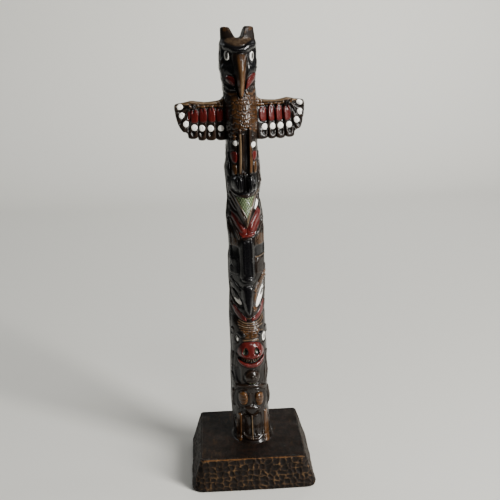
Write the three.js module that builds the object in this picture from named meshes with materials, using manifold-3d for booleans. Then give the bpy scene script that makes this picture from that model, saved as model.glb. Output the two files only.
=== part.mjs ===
// Souvenir totem pole: one resin casting, 305 mm (12 in) tall. A half-round pole of stacked
// figures (thunderbird, long-nosed face, long-bodied face, bear holding a small round face),
// two spread wings and a square adzed foot block.
// Millimetres, +Z up, origin on the floor under the middle of the block, front towards -Y.

import * as THREE from 'three';
import { mergeVertices } from 'three/addons/utils/BufferGeometryUtils.js';
import Module from 'manifold-3d';

const wasm = await Module();
wasm.setup();

// ---------------------------------------------------------------- driving dimensions
const HEIGHT = 305;              // floor to horn tips
const BLOCK_HEIGHT = 23.6;       // foot block
const BLOCK_TOP_X = 71;          // block, width of its top
const BLOCK_TOP_Y = 76;          // block, depth of its top
const BLOCK_BOTTOM_X = 85.5;     // block, width just above its rounded bottom edge
const BLOCK_BOTTOM_Y = 80;       // block, depth there
const BLOCK_CORNERS = {          // radius of each upright corner, at the floor and at the top
  frontLeft: [8, 2.6], frontRight: [6, 3.6], backLeft: [5, 1.8], backRight: [5, 1.8],
};
const BLOCK_BOW = 0.7;           // how far the front bottom edge stands out in its middle
const BLOCK_ROUND_TOP = 0.8;     // rounding of the worn top edge
const BLOCK_ROUND_BOTTOM = 2.4;  // rounding of the bottom edge
const TWIST = 5.5;               // pole turned on the block, degrees, anticlockwise from above
const MID = 0.5;                 // the figures' centre line, to the pole's left of its axis
const WING_SPAN = 84.8;          // wing tip to wing tip
const WING_BACK = 2.4;           // back face of the wings, behind the pole's axis
const PRIMARY_FACE = 1.7;        // front face of the long feathers, before the axis
const COVERT_FACE = 2.6;         // front face of the short red feathers
const ARM_FACE = 3.4;            // front face of the arm along the wing's top
const BOSS_FACE = 4.2;           // front face of the round boss at the wrist
const FOOT_SINK = 3;             // how far the pole's foot runs into the block before the join
const COLUMNS = 44;              // facets round the pole, closer together on the carved front
const FRONT_CROWDING = 0.36;     // how much closer

// Pole stations: height, half width, depth before the axis, depth behind it.
const STATIONS = [
  [HEIGHT, 10.4, 4.0, 8.4], [HEIGHT - 1.2, 10.7, 5.0, 9.0], [298, 10.8, 7.2, 9.6], [294.0, 11.8, 12.6, 10.0],
  [288, 12.0, 12.9, 10.2], [280, 11.9, 13.0, 10.3], [270, 10.5, 12.0, 9.8], [264, 10.5, 11.6, 9.8],
  [257, 10.8, 13.4, 10.3], [248, 10.8, 14.2, 10.6], [238, 10.5, 13.2, 10.4], [226, 10.4, 12.4, 10.2],
  [215, 11.4, 12.8, 10.4], [205, 11.5, 13.2, 10.6], [196, 10.8, 12.6, 10.6], [184, 12.3, 13.4, 10.8],
  [168, 11.7, 13.2, 10.8], [155, 12.4, 13.0, 11.0], [142, 12.4, 13.6, 11.0], [128, 12.1, 13.4, 11.0],
  [112, 12.2, 13.2, 11.0], [98, 12.4, 13.6, 11.0], [86, 12.4, 13.8, 11.0], [74, 12.8, 13.0, 11.2],
  [62, 12.8, 13.0, 11.2], [55, 13.6, 13.2, 11.4], [45, 12.9, 13.0, 11.4], [34, 12.6, 13.2, 11.4],
  [26, 13.2, 14.6, 11.8], [BLOCK_HEIGHT + 0.4, 14.2, 16.0, 12.8], [BLOCK_HEIGHT - FOOT_SINK, 14.4, 16.2, 13.0],
];

// Rows of facets down the pole: from, to, number of rows.
const ROWS = [
  [305, 303.8, 1], [303.8, 294, 3], [294, 286, 4], [286, 266, 7], [266, 258, 3], [258, 240, 4],
  [240, 214, 4], [214, 196, 6], [196, 178, 6], [178, 166, 4], [166, 144, 4], [144, 128, 6],
  [128, 106, 8], [106, 94, 5], [94, 78, 7], [78, 62, 6], [62, 44, 7], [44, 28, 3], [28, 24, 2], [24, 20.6, 1],
];

// ---------------------------------------------------------------- small helpers
const clamp = (x, a, b) => Math.min(b, Math.max(a, x));
const ease = (a, b, x) => { const t = clamp((x - a) / (b - a), 0, 1); return t * t * (3 - 2 * t); };
const mix = (a, b, t) => a + (b - a) * t;

function station(z) {
  let i = 0;
  while (i < STATIONS.length - 2 && z < STATIONS[i + 1][0]) i++;
  const [za, ...a] = STATIONS[i], [zb, ...b] = STATIONS[i + 1];
  const t = ease(za, zb, z);
  return a.map((v, k) => mix(v, b[k], t));
}

// Relief shapes on the front elevation: u across, z up. Each gives 0 outside, up to 1 inside.
function offset(u, z, cu, cz, ru, rz, tilt = 0) {
  const a = THREE.MathUtils.degToRad(tilt), c = Math.cos(a), s = Math.sin(a);
  const du = (u - cu) * c + (z - cz) * s, dz = -(u - cu) * s + (z - cz) * c;
  return Math.hypot(du / ru, dz / rz);
}
const dome = (...p) => Math.sqrt(Math.max(0, 1 - offset(...p) ** 2));
const pad = (...p) => 1 - ease(0.75, 1.15, offset(...p));
// A bar from one point to another, with a half width at each end; crowned across.
function bar(u, z, [ua, za], [ub, zb], wa, wb) {
  const lu = ub - ua, lz = zb - za;
  const t = clamp(((u - ua) * lu + (z - za) * lz) / (lu * lu + lz * lz), 0, 1);
  const d = Math.hypot(u - ua - lu * t, z - za - lz * t) / mix(wa, wb, t);
  return Math.sqrt(Math.max(0, 1 - d * d));
}
// A level band between two heights, between two sides, with eased edges.
const band = (x, a, b, e) => ease(a - e, a + e, x) * (1 - ease(b - e, b + e, x));

// ---------------------------------------------------------------- the figures, from the top down
// Thunderbird head: brow, ring eyes in sockets, long hooked beak with a sharp ridge, mouth corners.
function thunderbirdHead(u, z) {
  if (z > 297 || z < 259) return 0;
  let d = 2.2 * band(z, 289.4 - 0.03 * u * u, 294.2, 0.7);
  for (const side of [-1, 1]) {
    d -= 1.3 * pad(u, z, side * 8.0, 286.2, 3.2, 4.6);
    d += 1.3 * dome(u, z, side * 7.9, 287, 2.2, 3.1);
    d += 1.8 * dome(u, z, side * 6.5, 272.4, 3.0, 4.6, side * -12);
  }
  const half = mix(1.7, 5.6, clamp((z - 262) / 26, 0, 1));
  const rise = 4.8 * ease(289.5, 278, z) * ease(260.5, 266, z) + 1.2 * band(z, 264, 288, 1.5);
  return d + rise * Math.max(0, 1 - Math.abs(u - 0.3) / half);
}

// Legs hanging over the tail: a flat middle strip, two narrow strips, two thighs with round
// spots, then a fist of claws with its toes.
function thunderbirdLegs(u, z) {
  if (z > 244 || z < 196) return 0;
  const hang = band(z, 213, 240, 1.5);
  let d = -1.2 * hang * (bar(u, z, [-1.6, 240], [-1.6, 213], 0.9, 0.9) + bar(u, z, [1.9, 240], [1.9, 213], 1.2, 1.2));
  for (const side of [-1, 1]) {
    d += 1.1 * bar(u, z, [side * 3.4, 238], [side * 3.2, 214], 1.5, 1.3);
    d += 1.2 * bar(u, z, [side * 6.6, 231], [side * 6.4, 216], 2.4, 2.4);
    d += 1.4 * bar(u, z, [side * 11.4, 206], [side * 10.2, 200], 2.0, 1.6);
  }
  d += 2.6 * dome(u, z, 0, 205.5, 8.6, 8.6);
  for (const toe of [-2.4, 1.6]) d -= 0.9 * bar(u, z, [toe, 212], [toe, 202], 1.0, 1.0);
  return d;
}

// Long-nosed face: rim, wedge nose narrowing downwards, slanted eyes, V-shaped open mouth.
function longNosedFace(u, z) {
  if (z > 202 || z < 163) return 0;
  let d = 0.9 * band(z, 198.4, 200.6, 0.6) * band(u, -6.4, 6.4, 1);
  const half = mix(0.9, 7.4, clamp((z - 180) / 18, 0, 1));
  d += mix(2.8, 1.0, clamp((z - 182) / 16, 0, 1)) * band(z, 179.4, 198, 0.8) * (1 - ease(half - 0.9, half + 0.9, Math.abs(u)));
  for (const side of [-1, 1]) {
    d -= 0.9 * bar(u, z, [side * 10.2, 197], [side * 7.0, 190.5], 2.4, 1.4);
    d += 0.9 * bar(u, z, [side * 9.8, 196], [side * 7.2, 191], 1.4, 0.9);
    d -= 2.0 * bar(u, z, [side * 8.6, 185.5], [side * 3.2, 174.5], 3.0, 3.2);
    d += 1.3 * bar(u, z, [side * 12.0, 182], [side * 6.8, 169.5], 1.8, 1.8);
  }
  return d - 1.2 * band(z, 171.5, 177, 0.8) * band(u, -4, 4, 1);
}

// Long body: middle panel with two upright ribs, rounded shoulder patches, side panels.
function longBody(u, z) {
  if (z > 172 || z < 138) return 0;
  const run = band(z, 142, 168.5, 1.2);
  let d = 1.0 * run * (1 - ease(3.9, 4.9, Math.abs(u)));
  for (const side of [-1, 1]) {
    d += 0.9 * run * bar(u, z, [side * 2.7, 168], [side * 2.9, 142], 1.1, 1.1);
    d -= 1.0 * pad(u, z, side * 7.4, 161.6, 2.9, 3.6);
    d += 0.7 * band(z, 146.5, 157.4, 0.7) * band(Math.abs(u), 5.2, 11.8, 0.6);
  }
  return d;
}

// Slant-eyed face: swollen forehead, brows, large slanted eyes, nose down to the mouth, U chin.
function slantEyedFace(u, z) {
  if (z > 147 || z < 106) return 0;
  let d = 2.6 * dome(u, z, 0, 139, 6.2, 6.0);
  const half = mix(2.6, 4.4, clamp((z - 116) / 18, 0, 1));
  d += mix(4.0, 1.8, clamp((z - 118) / 17, 0, 1)) * band(z, 116, 138, 0.8) * Math.sqrt(Math.max(0, 1 - ((u + 0.6) / half) ** 2));
  for (const side of [-1, 1]) {
    d += 1.9 * bar(u, z, [side * 12.4, 141], [side * 5.0, 134.6], 2.6, 2.0);
    d -= 1.0 * bar(u, z, [side * 11.6, 133.5], [side * 5.6, 124.5], 3.2, 2.2);
    d += 1.2 * bar(u, z, [side * 11.2, 132.5], [side * 6.2, 125.5], 2.5, 1.6);
    d -= 1.6 * bar(u, z, [side * 8.8, 117.5], [side * 3.4, 114.4], 2.6, 2.2);
    d += 1.1 * bar(u, z, [side * 10.8, 114], [side * 5.2, 109.4], 1.6, 1.5);
  }
  d += 1.1 * bar(u, z, [-5.2, 109.4], [5.2, 109.4], 1.5, 1.5);
  return d - 1.0 * band(z, 105.5, 107.4, 0.7);
}

// Bear: forehead, brows, side eyes, broad snout with nostrils, tooth row, lip.
function bearFace(u, z) {
  if (z > 107.5 || z < 76) return 0;
  let d = 1.5 * dome(u, z, 0, 101.5, 10, 5.4);
  const half = mix(9.2, 4.6, clamp((z - 85.5) / 11.5, 0, 1));
  d += mix(3.6, 1.2, clamp((z - 87) / 10, 0, 1)) * band(z, 85.2, 97.4, 0.7) * (1 - ease(half - 1.2, half + 1.0, Math.abs(u)));
  for (const side of [-1, 1]) {
    d += 1.0 * pad(u, z, side * 6.4, 102.6, 2.6, 2.0);
    d += 0.9 * dome(u, z, side * 10.2, 98.4, 2.2, 3.0);
    d -= 2.2 * dome(u, z, side * 3.8, 91.3, 2.0, 2.6);
    d += 1.0 * bar(u, z, [side * 9.4, 88], [side * 11.4, 80.5], 1.4, 1.6);
  }
  d -= 1.3 * band(z, 82.2, 84.8, 0.5) * band(u, -6.4, 6.4, 1);
  return d + 1.6 * band(z, 79.2 + 0.018 * u * u, 82.0 + 0.018 * u * u, 0.6) * band(u, -7.8, 7.8, 1);
}

// The small round face between the bear's arms, its two paws, its belly.
function bearBody(u, z) {
  if (z > 79 || z < 40) return 0;
  let d = 3.8 * dome(u, z, 0.8, 71.6, 5.9, 5.9);
  for (const side of [-1, 1]) {
    d -= 1.4 * bar(u, z, [side * 8.0, 77], [side * 7.4, 68], 1.5, 1.6);
    d += 1.5 * bar(u, z, [side * 9.4, 66.5], [side * 12.6, 57], 2.2, 2.6);
    d += 3.0 * dome(u, z, side * 5.4, 55.2, 3.5, 6.4);
    d -= 1.0 * bar(u, z, [side * 8.6, 60], [side * 9.6, 50], 1.0, 1.2);
  }
  return d + 1.8 * dome(u, z, 0, 47.6, 5.2, 6.0);
}

// Legs and feet: leg strips down the sides, two toes parted by a rib, a rounded rim on the block.
function bearFeet(u, z) {
  if (z > 46) return 0;
  let d = 0.9 * bar(u, z, [-0.4, 43], [-0.4, 27], 0.9, 0.9);
  for (const side of [-1, 1]) {
    d += 1.2 * bar(u, z, [side * 9.0, 43], [side * 9.4, 25], 2.2, 2.2);
    d -= 0.9 * bar(u, z, [side * 3.4, 40], [side * 3.6, 30], 2.2, 2.4);
  }
  return d + 1.5 * band(z, 24.2, 28.0, 0.7) * band(Math.abs(u), 0.6, 6.6, 0.6);
}

const figures = [thunderbirdHead, thunderbirdLegs, longNosedFace, longBody, slantEyedFace, bearFace, bearBody, bearFeet];

// ---------------------------------------------------------------- solids
// A geometry with shared corners, as a solid that can be joined and cut.
function solid(geometry) {
  const g = geometry.clone();
  for (const name of Object.keys(g.attributes)) if (name !== 'position') g.deleteAttribute(name);
  const m = mergeVertices(g, 1e-4);
  const index = m.index.array, keep = [];
  for (let i = 0; i < index.length; i += 3) {
    const [a, b, c] = [index[i], index[i + 1], index[i + 2]];
    if (a !== b && b !== c && a !== c) keep.push(a, b, c);
  }
  return new wasm.Manifold(new wasm.Mesh({
    numProp: 3,
    vertProperties: new Float32Array(m.attributes.position.array),
    triVerts: new Uint32Array(keep),
  }));
}

function geometryOf(manifold) {
  const mesh = manifold.getMesh();
  const g = new THREE.BufferGeometry();
  g.setAttribute('position', new THREE.BufferAttribute(new Float32Array(mesh.vertProperties), 3));
  g.setIndex(new THREE.BufferAttribute(new Uint32Array(mesh.triVerts), 1));
  g.computeVertexNormals();
  return g;
}

// The pole: a cylinder whose rows and columns are moved to the stations and pushed out by the figures.
function pole() {
  const heights = [ROWS[0][0]];
  for (const [from, to, n] of ROWS) for (let i = 1; i <= n; i++) heights.push(mix(from, to, i / n));
  const rows = heights.length - 1;
  const g = new THREE.CylinderGeometry(1, 1, 1, COLUMNS, rows);
  const p = g.attributes.position;
  for (let i = 0; i < p.count; i++) {
    const x = p.getX(i), y = p.getZ(i);
    const z = heights[Math.round((0.5 - p.getY(i)) * rows)];
    if (Math.hypot(x, y) < 0.5) { p.setXYZ(i, 0, -2, z); continue; }
    const even = Math.atan2(x, y);                         // 0 at the front
    const turn = even - FRONT_CROWDING * Math.sin(even);
    const s = Math.sin(turn), c = Math.cos(turn);
    const [half, front, back] = station(z);
    if (c > 0) {
      const u = half * s;
      const relief = figures.reduce((sum, figure) => sum + figure(u - MID, z), 0);
      p.setXYZ(i, u, -front * c - relief * ease(0, 0.35, c), z);
    } else {
      p.setXYZ(i, half * Math.sign(s) * Math.abs(s) ** 0.7, back * Math.abs(c) ** 0.7, z);
    }
  }
  return solid(g);
}

// The U gap between the two horns, cut right through.
function hornGap() {
  const s = new THREE.Shape();
  s.moveTo(-8.2, HEIGHT + 3);
  s.lineTo(-6.4, HEIGHT);
  s.bezierCurveTo(-4.2, 301, -3.8, 298.0, 0.1, 297.9);
  s.bezierCurveTo(2.8, 298.0, 2.6, 302.6, 4.9, HEIGHT - 0.2);
  s.lineTo(6.6, HEIGHT + 3);
  s.closePath();
  const g = new THREE.ExtrudeGeometry(s, { depth: 40, bevelEnabled: false, curveSegments: 6 });
  g.rotateX(Math.PI / 2);
  g.translate(0, 20, 0);
  return solid(g);
}

// A plate standing in the wing's plane, from the wing's back to the given face.
function plate(shape, face) {
  const g = new THREE.ExtrudeGeometry(shape, { depth: face + WING_BACK, bevelEnabled: false, curveSegments: 4 });
  g.rotateX(Math.PI / 2);
  g.translate(0, WING_BACK, 0);
  return solid(g);
}

// A hanging feather with a round end.
function feather(centre, width, top, bottom, round) {
  const s = new THREE.Shape();
  const w = width / 2;
  s.moveTo(centre - w, top);
  s.lineTo(centre - w, bottom + round);
  s.bezierCurveTo(centre - w, bottom, centre - w * 0.3, bottom, centre, bottom);
  s.bezierCurveTo(centre + w * 0.3, bottom, centre + w, bottom, centre + w, bottom + round);
  s.lineTo(centre + w, top);
  s.closePath();
  return s;
}

// A feather fanned out from the wrist.
function fannedFeather(fromX, fromZ, toX, toZ, width) {
  const s = new THREE.Shape();
  const l = Math.hypot(toX - fromX, toZ - fromZ), dx = (toX - fromX) / l, dz = (toZ - fromZ) / l;
  const at = (along, side) => [fromX + dx * along - dz * side, fromZ + dz * along + dx * side];
  const w = width / 2;
  s.moveTo(...at(0, -w * 0.5));
  s.lineTo(...at(l - w, -w));
  s.bezierCurveTo(...at(l - w * 0.2, -w), ...at(l, -w * 0.5), ...at(l, 0));
  s.bezierCurveTo(...at(l, w * 0.5), ...at(l - w * 0.2, w), ...at(l - w, w));
  s.lineTo(...at(0, w * 0.5));
  s.closePath();
  return s;
}

// One wing, spreading towards +X. Centres and widths of the four long and four short feathers
// differ a little between the two wings, as they were carved by hand.
function wing({ long, longEnd, short, shortEnd, wrist }) {
  const tip = WING_SPAN / 2;
  const parts = [];
  const arm = new THREE.Shape();
  arm.moveTo(7, 254.4);
  arm.lineTo(tip - 7.2, 254.0);
  arm.lineTo(tip - 0.2, 253.4);
  arm.lineTo(tip, 257.2);
  arm.lineTo(tip - 0.8, 257.7);
  arm.bezierCurveTo(36, 258.6, 33.5, 259.8, 30.6, 259.8);
  arm.bezierCurveTo(27.5, 259.8, 25, 258.4, 20, 258.5);
  arm.bezierCurveTo(14, 258.8, 12.5, 259.0, 10.6, 262.4);
  arm.lineTo(7, 262.4);
  arm.closePath();
  parts.push(plate(arm, ARM_FACE));
  const hand = new THREE.Shape();
  hand.moveTo(28, 256);
  hand.lineTo(tip - 0.1, 256);
  hand.lineTo(tip - 0.4, 247);
  hand.bezierCurveTo(41.6, 243, 40.4, 238.6, 36.6, 238.4);
  hand.lineTo(33, 239.2);
  hand.lineTo(28, 244);
  hand.closePath();
  parts.push(plate(hand, PRIMARY_FACE - 0.5));
  parts.push(plate(fannedFeather(wrist + 1, 255, 37.6, 239.6, 4.6), PRIMARY_FACE));
  parts.push(plate(fannedFeather(wrist + 2, 255.6, 41.2, 248.0, 5.4), PRIMARY_FACE + 0.5));
  for (const [i, [centre, width]] of long.entries())
    parts.push(plate(feather(centre, width + 0.02, 256, longEnd[i], 1.5), PRIMARY_FACE));
  const web = new THREE.Shape();
  web.moveTo(7, 256);
  web.lineTo(33, 256);
  web.lineTo(33.4, Math.max(...longEnd) + 1.4);
  web.lineTo(7, Math.min(...longEnd) + 0.9);
  web.closePath();
  parts.push(plate(web, PRIMARY_FACE - 0.8));
  for (const [centre, width] of short) parts.push(plate(feather(centre, width - 0.3, 255.5, shortEnd, 2.6), COVERT_FACE));
  const boss = new THREE.Shape();
  boss.absarc(wrist - 0.4, 256.0, 1.8, 0, Math.PI * 2);
  parts.push(plate(boss, BOSS_FACE));
  return parts.reduce((a, b) => a.add(b));
}

const rightWing = wing({
  long: [[13.0, 9.2], [20.4, 5.5], [26.1, 6.0], [32.2, 6.2]], longEnd: [233.2, 233.2, 233.2, 233.7],
  short: [[15.2, 5.0], [20.5, 4.9], [25.4, 4.8], [30.5, 5.2]], shortEnd: 245.1, wrist: 31,
});
const leftWing = wing({
  long: [[11.8, 8.6], [19.2, 6.4], [25.1, 5.4], [30.8, 6.3]], longEnd: [233.8, 234.0, 234.3, 235.6],
  short: [[13.9, 4.6], [18.6, 4.8], [24.0, 5.2], [29.8, 5.4]], shortEnd: 245.9, wrist: 30.2,
}).mirror([1, 0, 0]);

// The foot block: rounded-rectangle rings from the floor to the top, its corners worn unevenly.
function block() {
  const { frontLeft, frontRight, backLeft, backRight } = BLOCK_CORNERS;
  const corners = [[1, 1, backRight], [-1, 1, backLeft], [-1, -1, frontLeft], [1, -1, frontRight]];
  const rings = [
    [0, BLOCK_ROUND_BOTTOM], [0.7, BLOCK_ROUND_BOTTOM * 0.3], [BLOCK_ROUND_BOTTOM, 0],
    [BLOCK_HEIGHT * 0.55, 0], [BLOCK_HEIGHT - BLOCK_ROUND_TOP, 0], [BLOCK_HEIGHT - 0.45, BLOCK_ROUND_TOP * 0.3],
    [BLOCK_HEIGHT, BLOCK_ROUND_TOP],
  ];
  const perCorner = 8;                                          // six facets to a corner, two to a side
  const around = 4 * perCorner;
  const g = new THREE.CylinderGeometry(1, 1, 1, around, rings.length - 1);
  const p = g.attributes.position;
  for (let i = 0; i < p.count; i++) {
    const x = p.getX(i), y = p.getZ(i);
    const [z, inset] = rings[Math.round((p.getY(i) + 0.5) * (rings.length - 1))];
    if (Math.hypot(x, y) < 0.5) { p.setXYZ(i, 0, 0, z); continue; }
    const t = clamp((z - BLOCK_ROUND_BOTTOM) / (BLOCK_HEIGHT - BLOCK_ROUND_BOTTOM), 0, 1);
    const hx = mix(BLOCK_BOTTOM_X, BLOCK_TOP_X, t) / 2 - inset, hy = mix(BLOCK_BOTTOM_Y, BLOCK_TOP_Y, t) / 2 - inset;
    const bow = BLOCK_BOW * (1 - t);
    const k = Math.round((Math.atan2(-y, x) / (Math.PI * 2) + 1) * around) % around;
    const [sx, sy, [floorRadius, topRadius]] = corners[Math.floor(k / perCorner)];
    const r = mix(floorRadius, topRadius, t) - inset * 0.5;
    const step = k % perCorner;                                 // 0 is the middle of a side
    const odd = Math.floor(k / perCorner) % 2;
    const sweep = odd ? perCorner - step : step;
    const a = (sweep - 1) / (perCorner - 2) * Math.PI / 2;
    if (step === 0) {
      const side = [[hx, 0], [0, hy], [-hx, 0], [0, -hy]][k / perCorner];
      p.setXYZ(i, side[0], side[1], z);
    } else {
      const reach = sy < 0 ? hy - bow : hy;
      p.setXYZ(i, sx * (hx - r + r * Math.cos(a)), sy * (reach - r + r * Math.sin(a)), z);
    }
  }
  return solid(g);
}

const turned = pole().subtract(hornGap()).add(rightWing).add(leftWing).rotate([0, 0, TWIST]);
const casting = turned.add(block());

const group = new THREE.Group();
const totem = new THREE.Mesh(
  geometryOf(casting),
  new THREE.MeshStandardMaterial({ color: 0x2c1d14, roughness: 0.32, metalness: 0 }),
);
totem.name = 'totem_pole';
group.add(totem);

export default group;
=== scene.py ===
import math
import bpy
import numpy as np
from mathutils import Matrix, Vector


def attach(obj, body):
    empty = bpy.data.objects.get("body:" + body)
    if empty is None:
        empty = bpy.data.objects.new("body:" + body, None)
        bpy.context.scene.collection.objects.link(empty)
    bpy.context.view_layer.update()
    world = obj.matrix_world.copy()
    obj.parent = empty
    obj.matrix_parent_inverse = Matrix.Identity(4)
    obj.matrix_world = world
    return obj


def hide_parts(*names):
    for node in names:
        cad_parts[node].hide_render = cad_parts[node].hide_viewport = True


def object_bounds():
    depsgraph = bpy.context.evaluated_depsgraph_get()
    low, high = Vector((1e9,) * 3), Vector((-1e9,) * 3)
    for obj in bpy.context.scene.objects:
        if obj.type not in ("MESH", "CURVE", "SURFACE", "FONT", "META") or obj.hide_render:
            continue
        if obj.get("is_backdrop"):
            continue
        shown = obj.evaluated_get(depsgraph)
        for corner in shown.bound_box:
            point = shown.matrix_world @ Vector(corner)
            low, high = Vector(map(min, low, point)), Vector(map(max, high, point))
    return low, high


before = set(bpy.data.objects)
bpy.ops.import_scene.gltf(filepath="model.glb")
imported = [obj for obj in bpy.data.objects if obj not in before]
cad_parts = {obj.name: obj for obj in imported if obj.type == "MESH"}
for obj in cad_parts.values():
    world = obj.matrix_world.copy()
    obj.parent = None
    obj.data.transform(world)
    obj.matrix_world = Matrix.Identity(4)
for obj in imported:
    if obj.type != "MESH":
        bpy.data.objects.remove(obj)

cad_low, cad_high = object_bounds()

# ------------------------------------------------------------------ named sizes, millimetres
HEIGHT = 305.0
BLOCK_HEIGHT = 23.6
BLOCK_TOP = (71.0, 76.0)
BLOCK_BOTTOM = (85.5, 80.0)
BLOCK_CORNERS = {"fl": (8.0, 2.6), "fr": (6.0, 3.6), "bl": (5.0, 1.8), "br": (5.0, 1.8)}
BLOCK_BOW = 0.7
ROUND_TOP, ROUND_BOTTOM = 0.8, 2.4
TWIST = math.radians(5.5)
WING_BACK = 2.4
CROWN = 294.0            # where the brow turns over into the sloping crown
ROW = 0.34               # spacing of the pole's rows
TRIANGLES = 196000       # what the finished casting keeps

# pole stations: height, half width, middle, depth before the axis, depth behind it
STATIONS = np.array([
    [305.0, 10.4, -0.3, 4.0, 8.4], [303.8, 10.6, -0.3, 5.0, 9.0], [298.0, 10.9, 0.0, 7.2, 9.6],
    [294.0, 11.9, -0.1, 12.6, 10.0], [288.0, 12.0, -0.3, 12.9, 10.2], [280.0, 11.9, -0.5, 13.0, 10.3],
    [274.0, 10.9, -0.5, 12.4, 10.0], [268.5, 10.3, -0.3, 11.8, 9.8], [264.0, 10.75, 0.2, 11.6, 9.8],
    [257.0, 10.8, 0.25, 13.4, 10.3], [248.0, 10.8, 0.3, 14.2, 10.6], [238.0, 10.4, 0.3, 13.2, 10.4],
    [230.0, 10.3, 0.4, 12.6, 10.2], [223.6, 10.5, 0.5, 12.4, 10.2], [215.0, 11.4, 0.2, 12.8, 10.4],
    [205.0, 11.5, 0.7, 13.2, 10.6], [196.0, 10.6, 0.2, 12.6, 10.6], [190.2, 11.5, 0.5, 12.9, 10.7],
    [184.0, 12.3, 0.7, 13.4, 10.8], [176.5, 12.0, 0.8, 13.3, 10.8], [168.0, 11.6, 1.1, 13.2, 10.8],
    [162.6, 11.7, 1.3, 13.0, 10.9], [155.0, 12.3, 0.95, 13.0, 11.0], [142.0, 12.4, 0.9, 13.6, 11.0],
    [132.0, 12.1, 0.9, 13.5, 11.0], [127.0, 12.05, 0.6, 13.4, 11.0], [120.0, 12.0, 0.2, 13.3, 11.0],
    [112.0, 12.3, 0.2, 13.2, 11.0], [98.0, 12.4, 0.5, 13.6, 11.0], [90.0, 12.4, 0.5, 13.7, 11.0],
    [83.3, 12.35, -0.05, 13.8, 11.0], [74.0, 12.8, 0.1, 13.0, 11.2], [62.0, 12.75, 0.1, 13.0, 11.2],
    [54.5, 13.4, 0.4, 13.2, 11.4], [46.0, 12.85, 0.15, 13.0, 11.4], [34.0, 12.5, 0.9, 13.2, 11.4],
    [28.0, 12.6, 1.2, 13.9, 11.6], [25.4, 13.2, 1.35, 15.0, 12.2], [23.2, 14.3, 1.4, 16.2, 13.2], [20.6, 14.6, 1.4, 16.5, 13.4],
])


def ease(a, b, x):
    t = np.clip((x - a) / (b - a), 0.0, 1.0)
    return t * t * (3.0 - 2.0 * t)


def station(z):
    """half width, middle, front depth, back depth of the pole at height z (array)."""
    z = np.asarray(z, float)
    zs = STATIONS[::-1, 0]
    i = np.clip(np.searchsorted(zs, z) - 1, 0, len(zs) - 2)
    t = np.clip((z - zs[i]) / (zs[i + 1] - zs[i]), 0, 1)
    t = t * t * (3 - 2 * t)
    a, b = STATIONS[::-1, 1:][i], STATIONS[::-1, 1:][i + 1]
    return tuple(np.moveaxis(a + (b - a) * t[..., None], -1, 0))


# ------------------------------------------------------------------ seeded noise
def lattice(ix, iy, seed):
    h = (ix.astype(np.int64) * 374761393 + iy.astype(np.int64) * 668265263 + seed * 362437) & 0xFFFFFFFF
    h = ((h ^ (h >> 13)) * 1274126177) & 0xFFFFFFFF
    h = ((h ^ (h >> 16)) * 2246822519) & 0xFFFFFFFF
    return ((h ^ (h >> 15)) & 0xFFFFFF) / float(0xFFFFFF)


def wander(x, y, size, seed):
    """Smooth noise, -1 to 1, with lumps of about that size."""
    x, y = np.asarray(x) / size, np.asarray(y) / size
    ix, iy = np.floor(x), np.floor(y)
    fx, fy = x - ix, y - iy
    fx, fy = fx * fx * (3 - 2 * fx), fy * fy * (3 - 2 * fy)
    a, b = lattice(ix, iy, seed), lattice(ix + 1, iy, seed)
    c, d = lattice(ix, iy + 1, seed), lattice(ix + 1, iy + 1, seed)
    return (a + (b - a) * fx + (c - a) * fy + (a - b - c + d) * fx * fy) * 2 - 1


def cells(x, y, size, seed):
    """Distances to the nearest and second nearest of scattered points, in units of size, and the cell's own number."""
    x, y = np.asarray(x) / size, np.asarray(y) / size
    ix, iy = np.floor(x), np.floor(y)
    f1 = np.full(x.shape, 9.0)
    f2 = np.full(x.shape, 9.0)
    own = np.zeros(x.shape)
    for dx in (-1, 0, 1):
        for dy in (-1, 0, 1):
            cx, cy = ix + dx, iy + dy
            px = cx + 0.15 + 0.7 * lattice(cx, cy, seed)
            py = cy + 0.15 + 0.7 * lattice(cx, cy, seed + 7)
            d = np.hypot(px - x, py - y)
            closer = d < f1
            f2 = np.where(closer, f1, np.minimum(f2, d))
            own = np.where(closer, lattice(cx, cy, seed + 13), own)
            f1 = np.where(closer, d, f1)
    return f1, f2, own


# ------------------------------------------------------------------ carving on an elevation
class Shape:
    """A flat shape: its box, and its signed distance in mm, positive inside."""

    def __init__(self, box, sd):
        self.box, self.sd = box, sd


def oval(cu, cz, ru, rz, tilt=0.0):
    a = math.radians(tilt)
    c, s = math.cos(a), math.sin(a)
    r = max(ru, rz)

    def sd(u, z):
        x, y = (u - cu) * c + (z - cz) * s, -(u - cu) * s + (z - cz) * c
        k0 = np.hypot(x / ru, y / rz)
        k1 = np.hypot(x / ru ** 2, y / rz ** 2) + 1e-9
        return np.minimum(k0 * (1 - k0) / k1 + np.where(k0 < 1e-3, min(ru, rz), 0), min(ru, rz))
    return Shape((cu - r, cu + r, cz - r, cz + r), sd)


def bar(points, width):
    """A stroke along the points; width is its half width, one or one per point."""
    p = np.array(points, float)
    w = np.full(len(p), float(width)) if np.isscalar(width) else np.array(width, float)

    def sd(u, z):
        best = np.full(u.shape, -99.0)
        for (ua, za), (ub, zb), wa, wb in zip(p[:-1], p[1:], w[:-1], w[1:]):
            lu, lz = ub - ua, zb - za
            t = np.clip(((u - ua) * lu + (z - za) * lz) / (lu * lu + lz * lz + 1e-12), 0, 1)
            best = np.maximum(best, wa + (wb - wa) * t - np.hypot(u - ua - lu * t, z - za - lz * t))
        return best
    m = w.max()
    return Shape((p[:, 0].min() - m, p[:, 0].max() + m, p[:, 1].min() - m, p[:, 1].max() + m), sd)


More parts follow.
